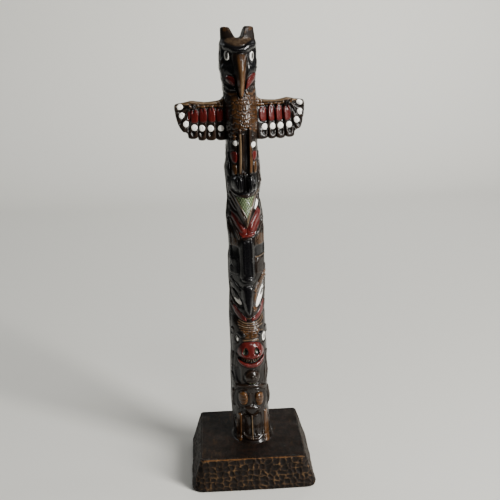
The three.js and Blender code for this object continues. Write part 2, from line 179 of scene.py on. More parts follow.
def area(points, soft=1):
    """A closed outline, its corners rounded by cutting them soft times."""
    p = np.array(points, float)
    for _ in range(soft):
        q = np.roll(p, -1, axis=0)
        p = np.stack([p * 0.75 + q * 0.25, p * 0.25 + q * 0.75], 1).reshape(-1, 2)

    def sd(u, z):
        d2 = np.full(u.shape, 1e9)
        inside = np.zeros(u.shape, bool)
        q = np.roll(p, -1, axis=0)
        for (ua, za), (ub, zb) in zip(p, q):
            lu, lz = ub - ua, zb - za
            t = np.clip(((u - ua) * lu + (z - za) * lz) / (lu * lu + lz * lz + 1e-12), 0, 1)
            d2 = np.minimum(d2, (u - ua - lu * t) ** 2 + (z - za - lz * t) ** 2)
            crosses = (za > z) != (zb > z)
            at = ua + lu * (z - za) / (lz if abs(lz) > 1e-12 else 1e-12)
            inside ^= crosses & (u < at)
        d = np.sqrt(d2)
        return np.where(inside, d, -d)
    return Shape((p[:, 0].min(), p[:, 0].max(), p[:, 1].min(), p[:, 1].max()), sd)


def less(a, b):
    return Shape(a.box, lambda u, z: np.minimum(a.sd(u, z), -b.sd(u, z)))


def shrink(a, by):
    return Shape(a.box, lambda u, z: a.sd(u, z) - by)


PAINTS = ("gold", "tan", "black", "red", "green", "white", "ink")


class Canvas:
    """Relief in mm on a flat elevation, with each paint's area as a signed distance in mm."""

    def __init__(self, u0, u1, z0, z1, step=0.1):
        self.u0, self.z0, self.step = u0, z0, step
        self.u = np.arange(u0, u1 + step / 2, step)
        self.z = np.arange(z0, z1 + step / 2, step)
        self.U, self.Z = np.meshgrid(self.u, self.z)
        self.D = np.zeros(self.U.shape)
        self.P = {k: np.full(self.U.shape, -4.0) for k in PAINTS}
        self.cut = np.zeros(self.U.shape)      # fine tool marks, kept apart from the larger relief

    def _part(self, shape, margin=1.6):
        u0, u1, z0, z1 = shape.box
        a = max(0, int((u0 - margin - self.u0) / self.step))
        b = min(len(self.u), int((u1 + margin - self.u0) / self.step) + 2)
        c = max(0, int((z0 - margin - self.z0) / self.step))
        d = min(len(self.z), int((z1 + margin - self.z0) / self.step) + 2)
        s = (slice(c, max(c, d)), slice(a, max(a, b)))
        return s, shape.sd(self.U[s], self.Z[s])

    def pillow(self, shape, height, width):
        """Rises from the edge in a quarter round of that width."""
        s, d = self._part(shape)
        t = np.clip(d / width, 0, 1)
        self.D[s] += height * np.sqrt(1 - (1 - t) ** 2)

    def step_up(self, shape, height, bevel=0.6):
        s, d = self._part(shape)
        self.D[s] += height * ease(-bevel / 2, bevel / 2, d)

    def groove(self, shape, depth, width=0.35):
        """A tool cut that follows the shape's edge."""
        s, d = self._part(shape)
        self.D[s] -= depth * np.exp(-(d / width) ** 2)

    def paint(self, shape, *names):
        s, d = self._part(shape)
        for name in names:
            self.P[name][s] = np.maximum(self.P[name][s], d)

    def scrape(self, shape, *names):
        s, d = self._part(shape)
        for name in names:
            self.P[name][s] = np.minimum(self.P[name][s], -d)

    def outline(self, shape, width=0.28, paint="ink"):
        s, d = self._part(shape)
        self.P[paint][s] = np.maximum(self.P[paint][s], width - np.abs(d))

    def strokes(self, shape, pitch, slope, depth, seed, bend=0.0):
        """Rows of short tool strokes across a shape; slope in degrees from level."""
        s, d = self._part(shape)
        u, z = self.U[s], self.Z[s]
        a = math.radians(slope)
        across = -u * math.sin(a) + z * math.cos(a) + bend * (u * math.cos(a) + z * math.sin(a)) ** 2
        along = u * math.cos(a) + z * math.sin(a)
        phase = across / pitch + 0.25 * wander(u, z, 2.4, seed)
        wave = 0.5 + 0.5 * np.cos(2 * np.pi * phase)
        breaks = ease(-0.5, 0.1, wander(along, np.round(phase) * 3.1, 2.6, seed + 3))
        self.D[s] -= depth * wave ** 2 * breaks * ease(0.0, 0.9, d)

    def form(self, shape, height, width, line=0.35, *paints):
        """A raised form with a tool cut round it, painted."""
        self.pillow(shape, height, width)
        if line:
            self.groove(shape, line * 0.8)
        if paints:
            self.paint(shape, *paints)

    def sample(self, field, u, z):
        x = np.clip((u - self.u0) / self.step, 0, len(self.u) - 1.001)
        y = np.clip((z - self.z0) / self.step, 0, len(self.z) - 1.001)
        i, j = np.floor(y).astype(int), np.floor(x).astype(int)
        fy, fx = y - i, x - j
        f = field
        return (f[i, j] * (1 - fx) + f[i, j + 1] * fx) * (1 - fy) + (f[i + 1, j] * (1 - fx) + f[i + 1, j + 1] * fx) * fy


def blur(a, radius):
    """Three box blurs each way."""
    n = max(1, int(round(radius)))
    for _ in range(3):
        for axis in (0, 1):
            p = np.concatenate([np.repeat(np.take(a, [0], axis), n + 1, axis), a, np.repeat(np.take(a, [-1], axis), n, axis)], axis)
            c = np.cumsum(p, axis)
            m = a.shape[axis]
            a = (np.take(c, np.arange(2 * n + 1, 2 * n + 1 + m), axis) - np.take(c, np.arange(0, m), axis)) / (2 * n + 1)
    return a


def dots(c, places, radius):
    """Raised white discs, each with a thin crescent cut inside."""
    for k, (u, z) in enumerate(places):
        c.form(oval(u, z, radius, radius * 1.04), 0.35, 0.9, 0.3, "white")
        c.outline(oval(u, z, radius + 0.22, radius * 1.04 + 0.22), 0.2)
        a = np.radians(np.linspace(95, 265, 6) + 30 * math.sin(k * 2.3))
        arc = [(u + 0.45 + radius * 0.5 * math.cos(t), z + radius * 0.62 * math.sin(t)) for t in a]
        c.groove(bar(arc, 0.05), 0.16, 0.22)
        c.paint(bar(arc, [0.02, 0.09, 0.12, 0.12, 0.08, 0.02]), "ink")


# ------------------------------------------------------------------ the pole's front, top to bottom
def carve_head(c):
    crown = area([(-9.4, 297.0), (-8.0, 295.4), (-5.0, 293.9), (-1.4, 293.1), (2.0, 293.8), (5.1, 295.4), (8.6, 297.0), (6.0, 298.8), (-6.0, 298.8)], 1)
    c.paint(crown, "tan")
    c.strokes(crown, 1.5, 4, 0.08, 11)
    for side, top in ((-1, -8.4), (1, 7.6)):
        horn = bar([(top, 305.5), (top + side * 0.6, 299)], [2.6, 3.2])
        c.paint(oval(top - 0.2 * side, 303.9, 1.9, 1.6), "gold")
        c.paint(bar([(top - side * 2.2, 303.4), (top - side * 3.4, 301.2)], 0.5), "tan")
        c.strokes(horn, 1.3, 84, 0.14, 12 + side)
    # eye sockets, then the rolled brow over them
    for side in (-1, 1):
        socket = area([(side * 10.6, 291.6), (side * 8.4, 292.2), (side * 5.6, 290.2), (side * 5.4, 286.5), (side * 5.8, 282.4),
                       (side * 8.2, 281.2), (side * 10.8, 282.6)])
        c.step_up(socket, -1.1, 1.9)
        c.paint(socket, "black")
    brow = area([(-11.2, 294.6), (-9.6, 296.4), (-8.2, 295.2), (-5.0, 293.7), (-1.4, 292.9), (2.0, 293.6), (5.1, 295.2), (8.4, 296.6), (11.2, 295.6), (11.4, 293.0),
                 (9.4, 291.5), (7.4, 291.0), (5.6, 290.3), (2.8, 289.2), (0.2, 288.8), (-3.2, 289.0), (-5.8, 289.6), (-8.0, 290.4), (-10.4, 291.4)])
    c.form(brow, 2.3, 2.7, 0.4, "black")
    for cu, cz, ru, rz, tip in ((-8.4, 287.8, 1.45, 3.0, 3), (7.5, 286.9, 1.45, 2.9, -4)):
        ring = oval(cu, cz, ru, rz, tip)
        hole = oval(cu + (0.05 if cu < 0 else 0.25), cz + 0.1, ru * 0.60, rz * 0.74, tip)
        c.form(ring, 0.9, 0.8, 0.4, "white")
        c.groove(hole, 0.4, 0.35)
        c.paint(hole, "ink")
        c.paint(area([(cu - ru - 2.2, cz + 3.6), (cu + ru + 1.2, cz + 3.8), (cu + ru + 1.0, cz - 3.8), (cu - ru - 2.0, cz - 3.6)]), "black")
        c.outline(oval(cu, cz, ru + 0.3, rz + 0.35, tip), 0.24)
    # the beak: a long hooked blade with a narrow flat ridge
    beak = area([(-5.9, 289.2), (-1, 289.2), (2, 289.4), (5.4, 289.2), (4.5, 284), (3.7, 279), (3.0, 274), (2.4, 269), (1.9, 265), (1.1, 262.6),
                 (-0.3, 261.3), (-1.7, 262.2), (-2.8, 265), (-3.4, 269), (-4.2, 274), (-4.9, 279), (-5.4, 284)], 1)
    s, d = c._part(beak)
    u, z = c.U[s], c.Z[s]
    ridge = np.interp(z, [262, 266, 272, 279, 288], [-0.7, -0.6, -0.5, -0.4, -0.3])
    left = np.interp(z, [262, 265, 269, 274, 279, 284, 289], [-1.7, -2.8, -3.4, -4.2, -4.9, -5.4, -5.9])
    right = np.interp(z, [262, 265, 269, 274, 279, 284, 289], [1.1, 1.9, 2.4, 3.0, 3.7, 4.5, 5.4])
    side = np.where(u < ridge, (ridge - u) / (ridge - left), (u - ridge) / (right - ridge))
    rise = np.interp(z, [260.5, 262.2, 264.5, 268, 273, 279, 285, 288.5, 290], [0, 2.4, 4.2, 5.2, 5.6, 5.2, 3.4, 1.4, 0.6])
    c.D[s] += rise * np.clip(1 - np.clip(np.abs(side) - 0.18, 0, 1) ** 1.45 * 1.33, 0, 1) * ease(-0.3, 0.4, d)
    c.groove(beak, 0.4, 0.4)
    c.paint(area([(-2.6, 288.6), (2.6, 288.8), (2.8, 284), (2.5, 279), (2.1, 273), (1.8, 268), (1.4, 264.4), (0.2, 262.2), (-1.2, 262.2), (-2.3, 265), (-2.6, 271),
                  (-2.6, 277), (-2.6, 283)], 1), "gold")
    # a tan strip down the beak's ridge is a painted highlight
    c.paint(bar([(0.0, 284.5), (0.0, 279), (-0.2, 272), (-0.5, 267), (-0.7, 264)], [0.3, 0.55, 0.6, 0.6, 0.4]), "tan")
    c.groove(bar([(-4.5, 276), (-3.2, 270), (-2.2, 264)], 0.1), 0.4, 0.35)
    c.groove(bar([(3.5, 277), (2.6, 271), (1.6, 265)], 0.1), 0.35, 0.35)
    # black cheeks and the red corners of the mouth
    for side in (-1, 1):
        cheek = area([(side * 11.0, 284.5), (side * 6.0, 283.5), (side * 4.6, 279.5), (side * 3.6, 275.6), (side * 8.5, 276.4), (side * 11.2, 277.4)])
        c.paint(cheek, "black")
        c.form(cheek, 0.35, 1.8, 0.0)
        lobe = area([(-9.8, 274.4), (-8.7, 275.9), (-6.1, 275.2), (-3.8, 274.3), (-3.6, 271.6), (-3.9, 268.8), (-5.2, 269.1), (-7.2, 270.2), (-9.1, 271.8)]
                    if side < 0 else
                    [(10.2, 276.2), (8.3, 276.9), (6.2, 275.6), (3.8, 273.2), (2.8, 270.2), (2.2, 267.0), (3.2, 266.6), (4.7, 267.8), (6.7, 269.6), (8.6, 271.4), (10.2, 273.8)])
        c.form(lobe, 1.5, 1.9, 0.45, "red")
        c.groove(bar([(side * 7.8, 273.8), (side * 6.2, 273.6), (side * 4.8, 271.4)], 0.1), 0.3, 0.35)
        c.outline(lobe, 0.2)
        c.form(bar([(side * 4.4, 267.0), (side * 7.2, 267.0), (side * 9.6, 269.2)], 0.9), 0.5, 0.9, 0.2)
        c.form(bar([(side * 3.4, 264.2), (side * 6.8, 263.6), (side * 9.6, 265.6)], 0.9), 0.45, 0.9, 0.2, "gold")
    # painted shade: the neck's left side under the lobe is painted black, while the right side keeps its stain
    c.paint(area([(-10.6, 271.0), (-4.2, 268.4), (-3.2, 265.4), (-10.8, 264.4)]), "black")


def carve_scales(c):
    """Overlapping rounded feathers on the breast: upper rows lie over lower ones."""
    s = (slice(int((230.5 - c.z0) / c.step), int((264.0 - c.z0) / c.step)), slice(None))
    u, z = c.U[s], c.Z[s]
    arc = 11.5 * np.arcsin(np.clip(u / 11.6, -0.999, 0.999))
    w, rise = 3.9, 2.95
    height = np.zeros(u.shape)
    line = np.zeros(u.shape)
    for k in range(13, -1, -1):
        base = 262.4 - rise * k + 1.2 * wander(arc, z * 0 + k * 7.0, 5.0, 31)
        shift = 0.5 * w * (k % 2) + 0.5 + 0.6 * math.sin(k * 1.7)
        t = (arc - shift) / w + 0.24 * wander(arc, z * 0 + k * 5.0, 4.0, 33)
        own = lattice(np.round(t), np.full(t.shape, k), 35)
        t = (t - np.round(t)) * 2
        lean = (lattice(np.round((arc - shift) / w), np.full(t.shape, k), 37) - 0.5) * 0.5
        tip = base - 0.06 + (1.5 + 0.6 * own) * (1 - np.sqrt(np.clip(1 - (np.abs(t + lean * (1 - np.abs(t))) * 0.97) ** 1.8, 0, 1))) - 0.7 * (own - 0.5)
        over = z - tip
        on = over > 0
        fall = (0.62 + 0.25 * own) * np.exp(-over / 2.0) * (1 - 0.35 * t * t) + 0.08 * np.cos(t * 9.4)
        height = np.where(on, fall, height)
        line = np.where(on, np.exp(-(over / 0.34) ** 2), line)
        line = np.where(~on & (over > -0.5), np.maximum(line, np.exp(-(over / 0.4) ** 2)), line)
    # the breast ends where the legs begin
    edge = np.interp(u, [-11, -7.5, -4.5, -3.2, 0, 2.2, 3.6, 7.5, 11], [233, 234, 235.5, 242.2, 240.8, 241.4, 242.6, 239, 238])
    on = ease(-0.5, 0.5, z - edge) * ease(264.0, 262.6, z)
    c.D[s] += on * (height - 0.55 * line)
    soft = 0.45 * wander(u, z, 3.4, 39)
    # the gold stops about 6 mm left of the middle, so the left side keeps the dark stain as painted shade
    c.P["gold"][s] = np.maximum(c.P["gold"][s], np.minimum(np.minimum(z - edge, 262.8 - z), u + 6.4) + soft)
    c.P["ink"][s] = np.maximum(c.P["ink"][s], np.where(on > 0.5, (line - 0.72) * 0.45, -4))


def carve_legs(c):
    # painted shade: a black strip down the left edge beside the breast and legs, with nothing like it on the right
    c.paint(area([(-13, 258), (-9.4, 257), (-8.6, 248), (-8.8, 240), (-8.4, 233), (-8.6, 222), (-8.4, 213), (-13, 213)], 1), "black")
    # a thin strip between the legs, sunk either side of it
    c.step_up(area([(-1.2, 240.2), (3.0, 240.8), (3.2, 226), (2.8, 213), (-1.4, 213), (-0.9, 226)], 1), -1.1, 1.2)
    c.form(bar([(-0.1, 238.4), (-0.4, 226), (-0.35, 213.4)], 0.65), 0.7, 0.6, 0.25)
    # the sunk groove right of the strip is painted near black as painted shade
    c.paint(bar([(1.5, 239.4), (1.7, 226), (1.3, 213)], [0.7, 0.85, 0.7]), "ink")
    c.paint(bar([(-1.15, 238), (-1.05, 226), (-1.3, 213.6)], 0.18), "ink")
    # the legs: two long rolls, rubbed to gold along their inner sides
    c.form(bar([(-2.5, 241.2), (-2.4, 233), (-2.6, 222), (-3.2, 212.6)], [1.2, 1.45, 1.55, 1.6]), 1.7, 1.5, 0.3)
    c.paint(bar([(-2.2, 238.6), (-2.0, 230), (-2.2, 222), (-2.9, 214)], [0.6, 0.75, 0.75, 0.5]), "tan")
    c.form(bar([(4.2, 242.0), (4.5, 234), (4.6, 225), (4.1, 212.8)], [1.2, 1.6, 1.5, 1.5]), 1.9, 1.6, 0.3)
    c.paint(bar([(4.6, 231), (4.9, 224), (4.5, 214.4)], [0.5, 0.8, 0.8]), "gold")
    for side, cu, lo in ((-1, -6.1, 212.0), (1, 7.3, 212.8)):
        thigh = area([(cu - 2.2, 237.4), (cu, 238.8), (cu + 2.0, 237.4), (cu + 2.1, lo + 3), (cu + 1.2, lo), (cu - 1.2, lo), (cu - 2.2, lo + 3)])
        c.form(thigh, 0.9, 1.6, 0.25)
        c.form(bar([(cu + side * 3.1, 236), (cu + side * 3.3, 224), (cu + side * 3.3, 212)], 0.8), 0.5, 0.8, 0.2)
    dots(c, [(-5.0, 233.0)], 1.7)
    dots(c, [(6.5, 231.6)], 1.75)
    shields = (area([(-8.2, 227.7), (-3.9, 227.5), (-3.7, 223.6), (-4.5, 221.0), (-5.6, 219.8), (-7.3, 220.8), (-8.2, 223.4)], 1),
               area([(5.5, 227.6), (9.0, 227.4), (9.0, 223.8), (7.8, 221.8), (6.7, 220.6), (5.6, 222.4), (5.3, 225)], 1))
    for r in shields:
        c.form(r, 0.6, 1.0, 0.3, "red")
        c.outline(r, 0.16)
    c.form(area([(-7.7, 219.2), (-4.6, 219.2), (-4.5, 213.6), (-6.0, 211.6), (-7.5, 213.6)]), 0.3, 0.9, 0.2, "gold")
    c.form(area([(6.0, 220.2), (8.7, 221.4), (9.0, 215.2), (7.5, 212.8), (6.0, 214.2)]), 0.3, 0.9, 0.2, "gold")
    c.form(bar([(10.9, 219), (10.6, 213)], 0.9), 0.4, 0.8, 0.25)
    # the folded wing's tip at the left edge
    leaf = area([(-9.0, 223.8), (-10.6, 223.0), (-12.2, 219.0), (-12.4, 212), (-11.8, 205), (-10.2, 202.2), (-9.1, 206), (-8.7, 212), (-8.5, 219)], 1)
    c.form(leaf, 0.9, 1.7, 0.45, "black")
    # two fists of claws, side by side
    c.paint(area([(-9.2, 212), (-5, 213.4), (-0.4, 212.4), (4.6, 213.4), (8.8, 212), (9.4, 205), (8.8, 202.6), (6.2, 200.2), (0.8, 199.4), (-5.2, 199.0), (-9.0, 203)], 1), "black")
    for fist in (area([(-8.4, 209.0), (-6.6, 211.8), (-3.4, 212.8), (-0.7, 211.2), (-0.3, 206.0), (-0.7, 202.2), (-2.6, 200.7), (-5.0, 200.8), (-7.2, 202.2), (-8.5, 205.2)]),
                 area([(0.9, 210.6), (2.6, 212.2), (5.0, 212.9), (7.6, 211.2), (8.9, 207.4), (8.6, 203.8), (6.6, 201.6), (4.0, 200.8), (1.8, 201.2), (0.9, 204.8)])):
        c.form(fist, 2.9, 3.6, 0.55, "black")
    c.form(bar([(-6.1, 209.6), (-5.6, 203.0)], [1.4, 1.6]), 0.8, 1.4, 0.25)
    c.form(bar([(-3.2, 211.4), (-2.9, 202.4)], [1.3, 1.4]), 1.2, 1.3, 0.3)
    c.form(bar([(0.1, 213.4), (0.4, 201.6)], [0.6, 0.6]), 1.2, 0.6, 0.2)
    c.form(bar([(4.0, 211.4), (3.5, 202.2)], [1.5, 1.8]), 1.2, 1.5, 0.3)
    c.form(bar([(7.0, 209.4), (6.7, 203.4)], [1.3, 1.5]), 0.9, 1.4, 0.25)
    c.form(bar([(11.2, 207.0), (11.0, 203), (10.0, 199.0)], [1.6, 1.6, 1.2]), 0.8, 1.4, 0.35)


def carve_long_nose(c):
    rim = area([(-9.2, 203.4), (-5.4, 199.6), (0.8, 199.9), (6.3, 200.9), (9.0, 203.2), (9.4, 201.4), (7.0, 198.9), (0.7, 197.6), (-5.6, 198.2), (-9.4, 200.9)], 1)
    c.form(rim, 0.7, 0.9, 0.3)
    nose = area([(-7.4, 199.0), (0, 198.4), (8.2, 199.4), (5.2, 191.6), (2.4, 185.0), (1.4, 180.0), (0.3, 176.7), (-0.7, 179.0), (-1.8, 184.0), (-4.4, 190.4)], 1)
    s, d = c._part(nose)
    z = c.Z[s]
    c.D[s] += np.interp(z, [176.5, 179, 183, 190, 198], [0.0, 2.4, 2.7, 1.8, 0.8]) * ease(-0.4, 0.9, d)
    green = area([(-5.9, 197.9), (-3.4, 198.0), (0.6, 197.0), (3.8, 197.6), (6.4, 197.9), (4.1, 192.4), (0.7, 184.4), (-2.5, 190.7)], 0)
    c.paint(green, "green")
    s, d = c._part(green)
    u, z = c.U[s], c.Z[s]
    weave = np.minimum(np.abs(np.sin((u * 0.86 + z * 0.5) * np.pi / 1.05)), np.abs(np.sin((u * 0.86 - z * 0.5) * np.pi / 1.05)))
    c.D[s] -= 0.26 * np.exp(-(weave / 0.35) ** 2) * ease(0, 0.4, d)
    # bands run down either side of it and meet at the tip
    for side, band in ((-1, [(-10.3, 203.2), (-8.6, 199.8), (-6.4, 195.2), (-0.8, 184.8), (-0.1, 180.4), (-0.5, 178.9), (-3.0, 184.2), (-5.6, 189.8), (-8.5, 196.4), (-10.4, 200.6)]),
                       (1, [(9.6, 201.2), (6.9, 194.2), (3.9, 187.4), (1.7, 182.0), (0.6, 177.8), (0.8, 182.4), (2.0, 186.6), (4.9, 193.0), (7.2, 198.4), (8.4, 200.8)])):
        b = area(band, 1)
        c.form(b, 0.7, 1.0, 0.35)
        c.strokes(b, 1.2, -58 if side < 0 else 58, 0.2, 41 + side)
        c.paint(shrink(b, 0.5), "gold")
    for line, w in (([(-6.5, 198.0), (-2.9, 190.7), (0.1, 184.4), (0.5, 181.4)], 0.34), ([(7.0, 198.4), (4.5, 192.2), (1.3, 184.8), (0.9, 181.6)], 0.36),
                    ([(9.6, 201.4), (6.9, 194.0), (3.8, 187.2), (1.6, 181.9), (0.6, 177.4)], 0.42), ([(-10.2, 203.2), (-8.6, 199.4)], 0.3),
                    ([(-10.3, 200.8), (-8.2, 196.0), (-5.6, 189.6), (-3.0, 184.0), (-0.4, 178.8)], 0.26)):
        c.form(bar(line, w), 0.45, w, 0.18, "tan")
    # eyes slanting along the bands
    right = area([(9.5, 197.8), (10.7, 197.2), (10.6, 194.0), (9.2, 191.2), (7.4, 188.4), (6.6, 188.2), (6.2, 189.4), (7.1, 192.2), (8.3, 195.4)], 1)
    left = area([(-9.6, 196.6), (-8.2, 195.4), (-6.7, 192.0), (-5.1, 188.9), (-5.9, 188.0), (-7.8, 190.6), (-9.3, 193.8)], 1)
    for e in (right, left):
        c.step_up(Shape(e.box, lambda u, z, e=e: e.sd(u, z) + 0.9), -0.4, 1.2)
        c.form(e, 0.7, 1.0, 0.2)
        c.outline(e, 0.2)
    c.paint(right, "white")
    # painted shade: the left eye is painted black with only a thin tan sliver, where the right eye is white
    c.paint(shrink(left, 0.3), "black")
    c.paint(bar([(-8.3, 194.6), (-6.6, 191.4), (-5.4, 188.9)], [0.1, 0.22, 0.26]), "tan")
    # the open V of the mouth, red inside, with a full lower lip
    mouth = area([(8.2, 189.6), (10.0, 190.8), (11.8, 190.4), (12.8, 187.2), (12.2, 183.4), (10.4, 179.4), (8.2, 176.6), (6.4, 174.2), (5.0, 171.4), (2.4, 170.7),
                  (-1.2, 169.6), (-3.3, 171.0), (-4.6, 173.6), (-6.6, 177.7), (-8.4, 181.4), (-9.6, 185.0), (-9.6, 188.2), (-7.4, 186.9), (-5.3, 185.0), (-3.0, 181.4),
                  (-1.1, 178.2), (0.2, 176.2), (1.3, 178.4), (3.2, 182.2), (5.2, 185.0), (6.8, 187.2)], 1)
    c.step_up(mouth, -0.3, 0.9)
    c.paint(mouth, "red")
    c.outline(mouth, 0.16)
    for p, w in (([(10.8, 187.6), (7.2, 181.8), (3.9, 176.8)], [1.2, 1.8, 2.1]), ([(-8.2, 184.6), (-5.6, 179.6), (-2.9, 176.0)], [0.9, 1.4, 1.8])):
        c.form(bar(p, w), 1.2, 1.9, 0.0)
    c.groove(bar([(0.3, 177.0), (0.4, 173.4)], 0.1), 0.5, 0.5)
    c.form(bar([(-3.0, 171.4), (0.0, 171.6), (2.6, 172.0), (4.6, 172.8)], 0.95), 1.2, 0.95, 0.18)
    c.paint(bar([(-2.4, 174.3), (0.2, 173.4), (3.2, 173.7)], [0.06, 0.16, 0.06]), "ink")
    c.form(bar([(-2.2, 168.9), (0.5, 169.3), (3.0, 169.3)], 0.7), 0.6, 0.7, 0.25)
    for side, lip in ((1, [(12.8, 183.4), (10.9, 178.0), (8.4, 173.4), (7.0, 169.6)]), (-1, [(-9.4, 182.6), (-7.5, 177.4), (-5.9, 173.0), (-5.0, 169.8)])):
        c.form(bar(lip, [0.7, 0.8, 0.8, 0.7]), 0.5, 0.8, 0.3)


def carve_long_body(c):
    for side in (-1, 1):
        shoulder = area([(side * 10.4, 180.2), (side * 13.0, 184.4), (side * 13.4, 165.6), (side * 10.2, 163.9), (side * 7.6, 165.0),
                         (side * 6.3, 167.7), (side * 7.5, 172), (side * 9.3, 176.2)])
        c.form(shoulder, 0.6, 1.6, 0.35)
        c.strokes(shoulder, 1.15, -side * 52, 0.34, 51 + side)
        patch = area([(side * 5.0, 164.3), (side * 8, 164.8), (side * 13.2, 164.0), (side * 13.2, 158.2), (side * 9.5, 157.4), (side * 7.0, 157.2), (side * 5.2, 158.4)])
        c.step_up(patch, -0.8, 0.9)
        c.paint(patch, "black")
        panel = area([(side * 5.3, 156.2), (side * 13.4, 156.4), (side * 13.4, 147.6), (side * 10.6, 145.6), (side * 7.4, 145.0), (side * 5.2, 146.0)], 1)
        c.form(panel, 0.4, 1.2, 0.25)
        c.strokes(area([(side * 5.8, 156.0), (side * 13.4, 156.4), (side * 13.4, 146), (side * 7.4, 144)], 1), 1.0, -side * 44, 0.22, 53 + side, 0.02)
        low = area([(side * 6.6, 145.8), (side * 13.4, 147.2), (side * 13.4, 142.6), (side * 10.4, 144.0), (side * 7.6, 142.8)], 1)
        c.strokes(low, 1.1, -side * 50, 0.2, 55 + side)
    c.paint(area([(5.2, 169.4), (7.4, 171.8), (10.2, 172.8), (12.6, 171.2), (12.8, 166.0), (9.6, 165.2), (6.1, 165.0), (5.4, 166.8)], 1), "gold")
    c.paint(area([(-10.6, 169.4), (-8.2, 170.4), (-5.9, 169.6), (-5.9, 165.6), (-6.9, 164.5), (-9.6, 164.8)], 1), "gold")
    c.form(bar([(5.4, 156.9), (8.6, 157.1), (12.8, 158.0)], 0.4), 0.6, 0.4, 0.25, "tan")
    c.form(bar([(5.5, 157.0), (5.0, 150.5), (4.9, 144.0)], 0.25), 0.3, 0.3, 0.15, "gold")
    # painted shade: the body's left side is painted black, where the right side keeps plain stain
    c.paint(area([(-13, 164.6), (-5, 164.6), (-4.4, 150), (-5.6, 141), (-6.4, 137.0), (-9.0, 142.0), (-13, 146)], 1), "black")
    panel = area([(-4.9, 168.9), (0, 169.2), (5.0, 168.8), (5.0, 150), (4.9, 141.4), (0, 140.2), (-5.2, 141.4), (-4.9, 150)], 1)
    c.form(panel, 1.8, 4.4, 0.3, "black")
    c.form(bar([(3.0, 168.4), (3.2, 155), (3.5, 143.4)], [0.9, 0.9, 0.9]), 0.55, 1.0, 0.0)
    c.form(bar([(-2.5, 167.0), (-2.6, 155), (-2.4, 146)], [1.1, 1.1, 0.9]), 0.35, 1.2, 0.0)
    c.paint(bar([(2.0, 169.0), (2.3, 165.6), (2.9, 161.5), (3.0, 157.2)], [0.28, 0.24, 0.2, 0.1]), "tan")
    c.form(oval(3.0, 155.4, 0.75, 1.4), 0.4, 0.7, 0.0)
    c.paint(bar([(-3.4, 164.6), (-3.3, 160.6)], 0.2), "gold")


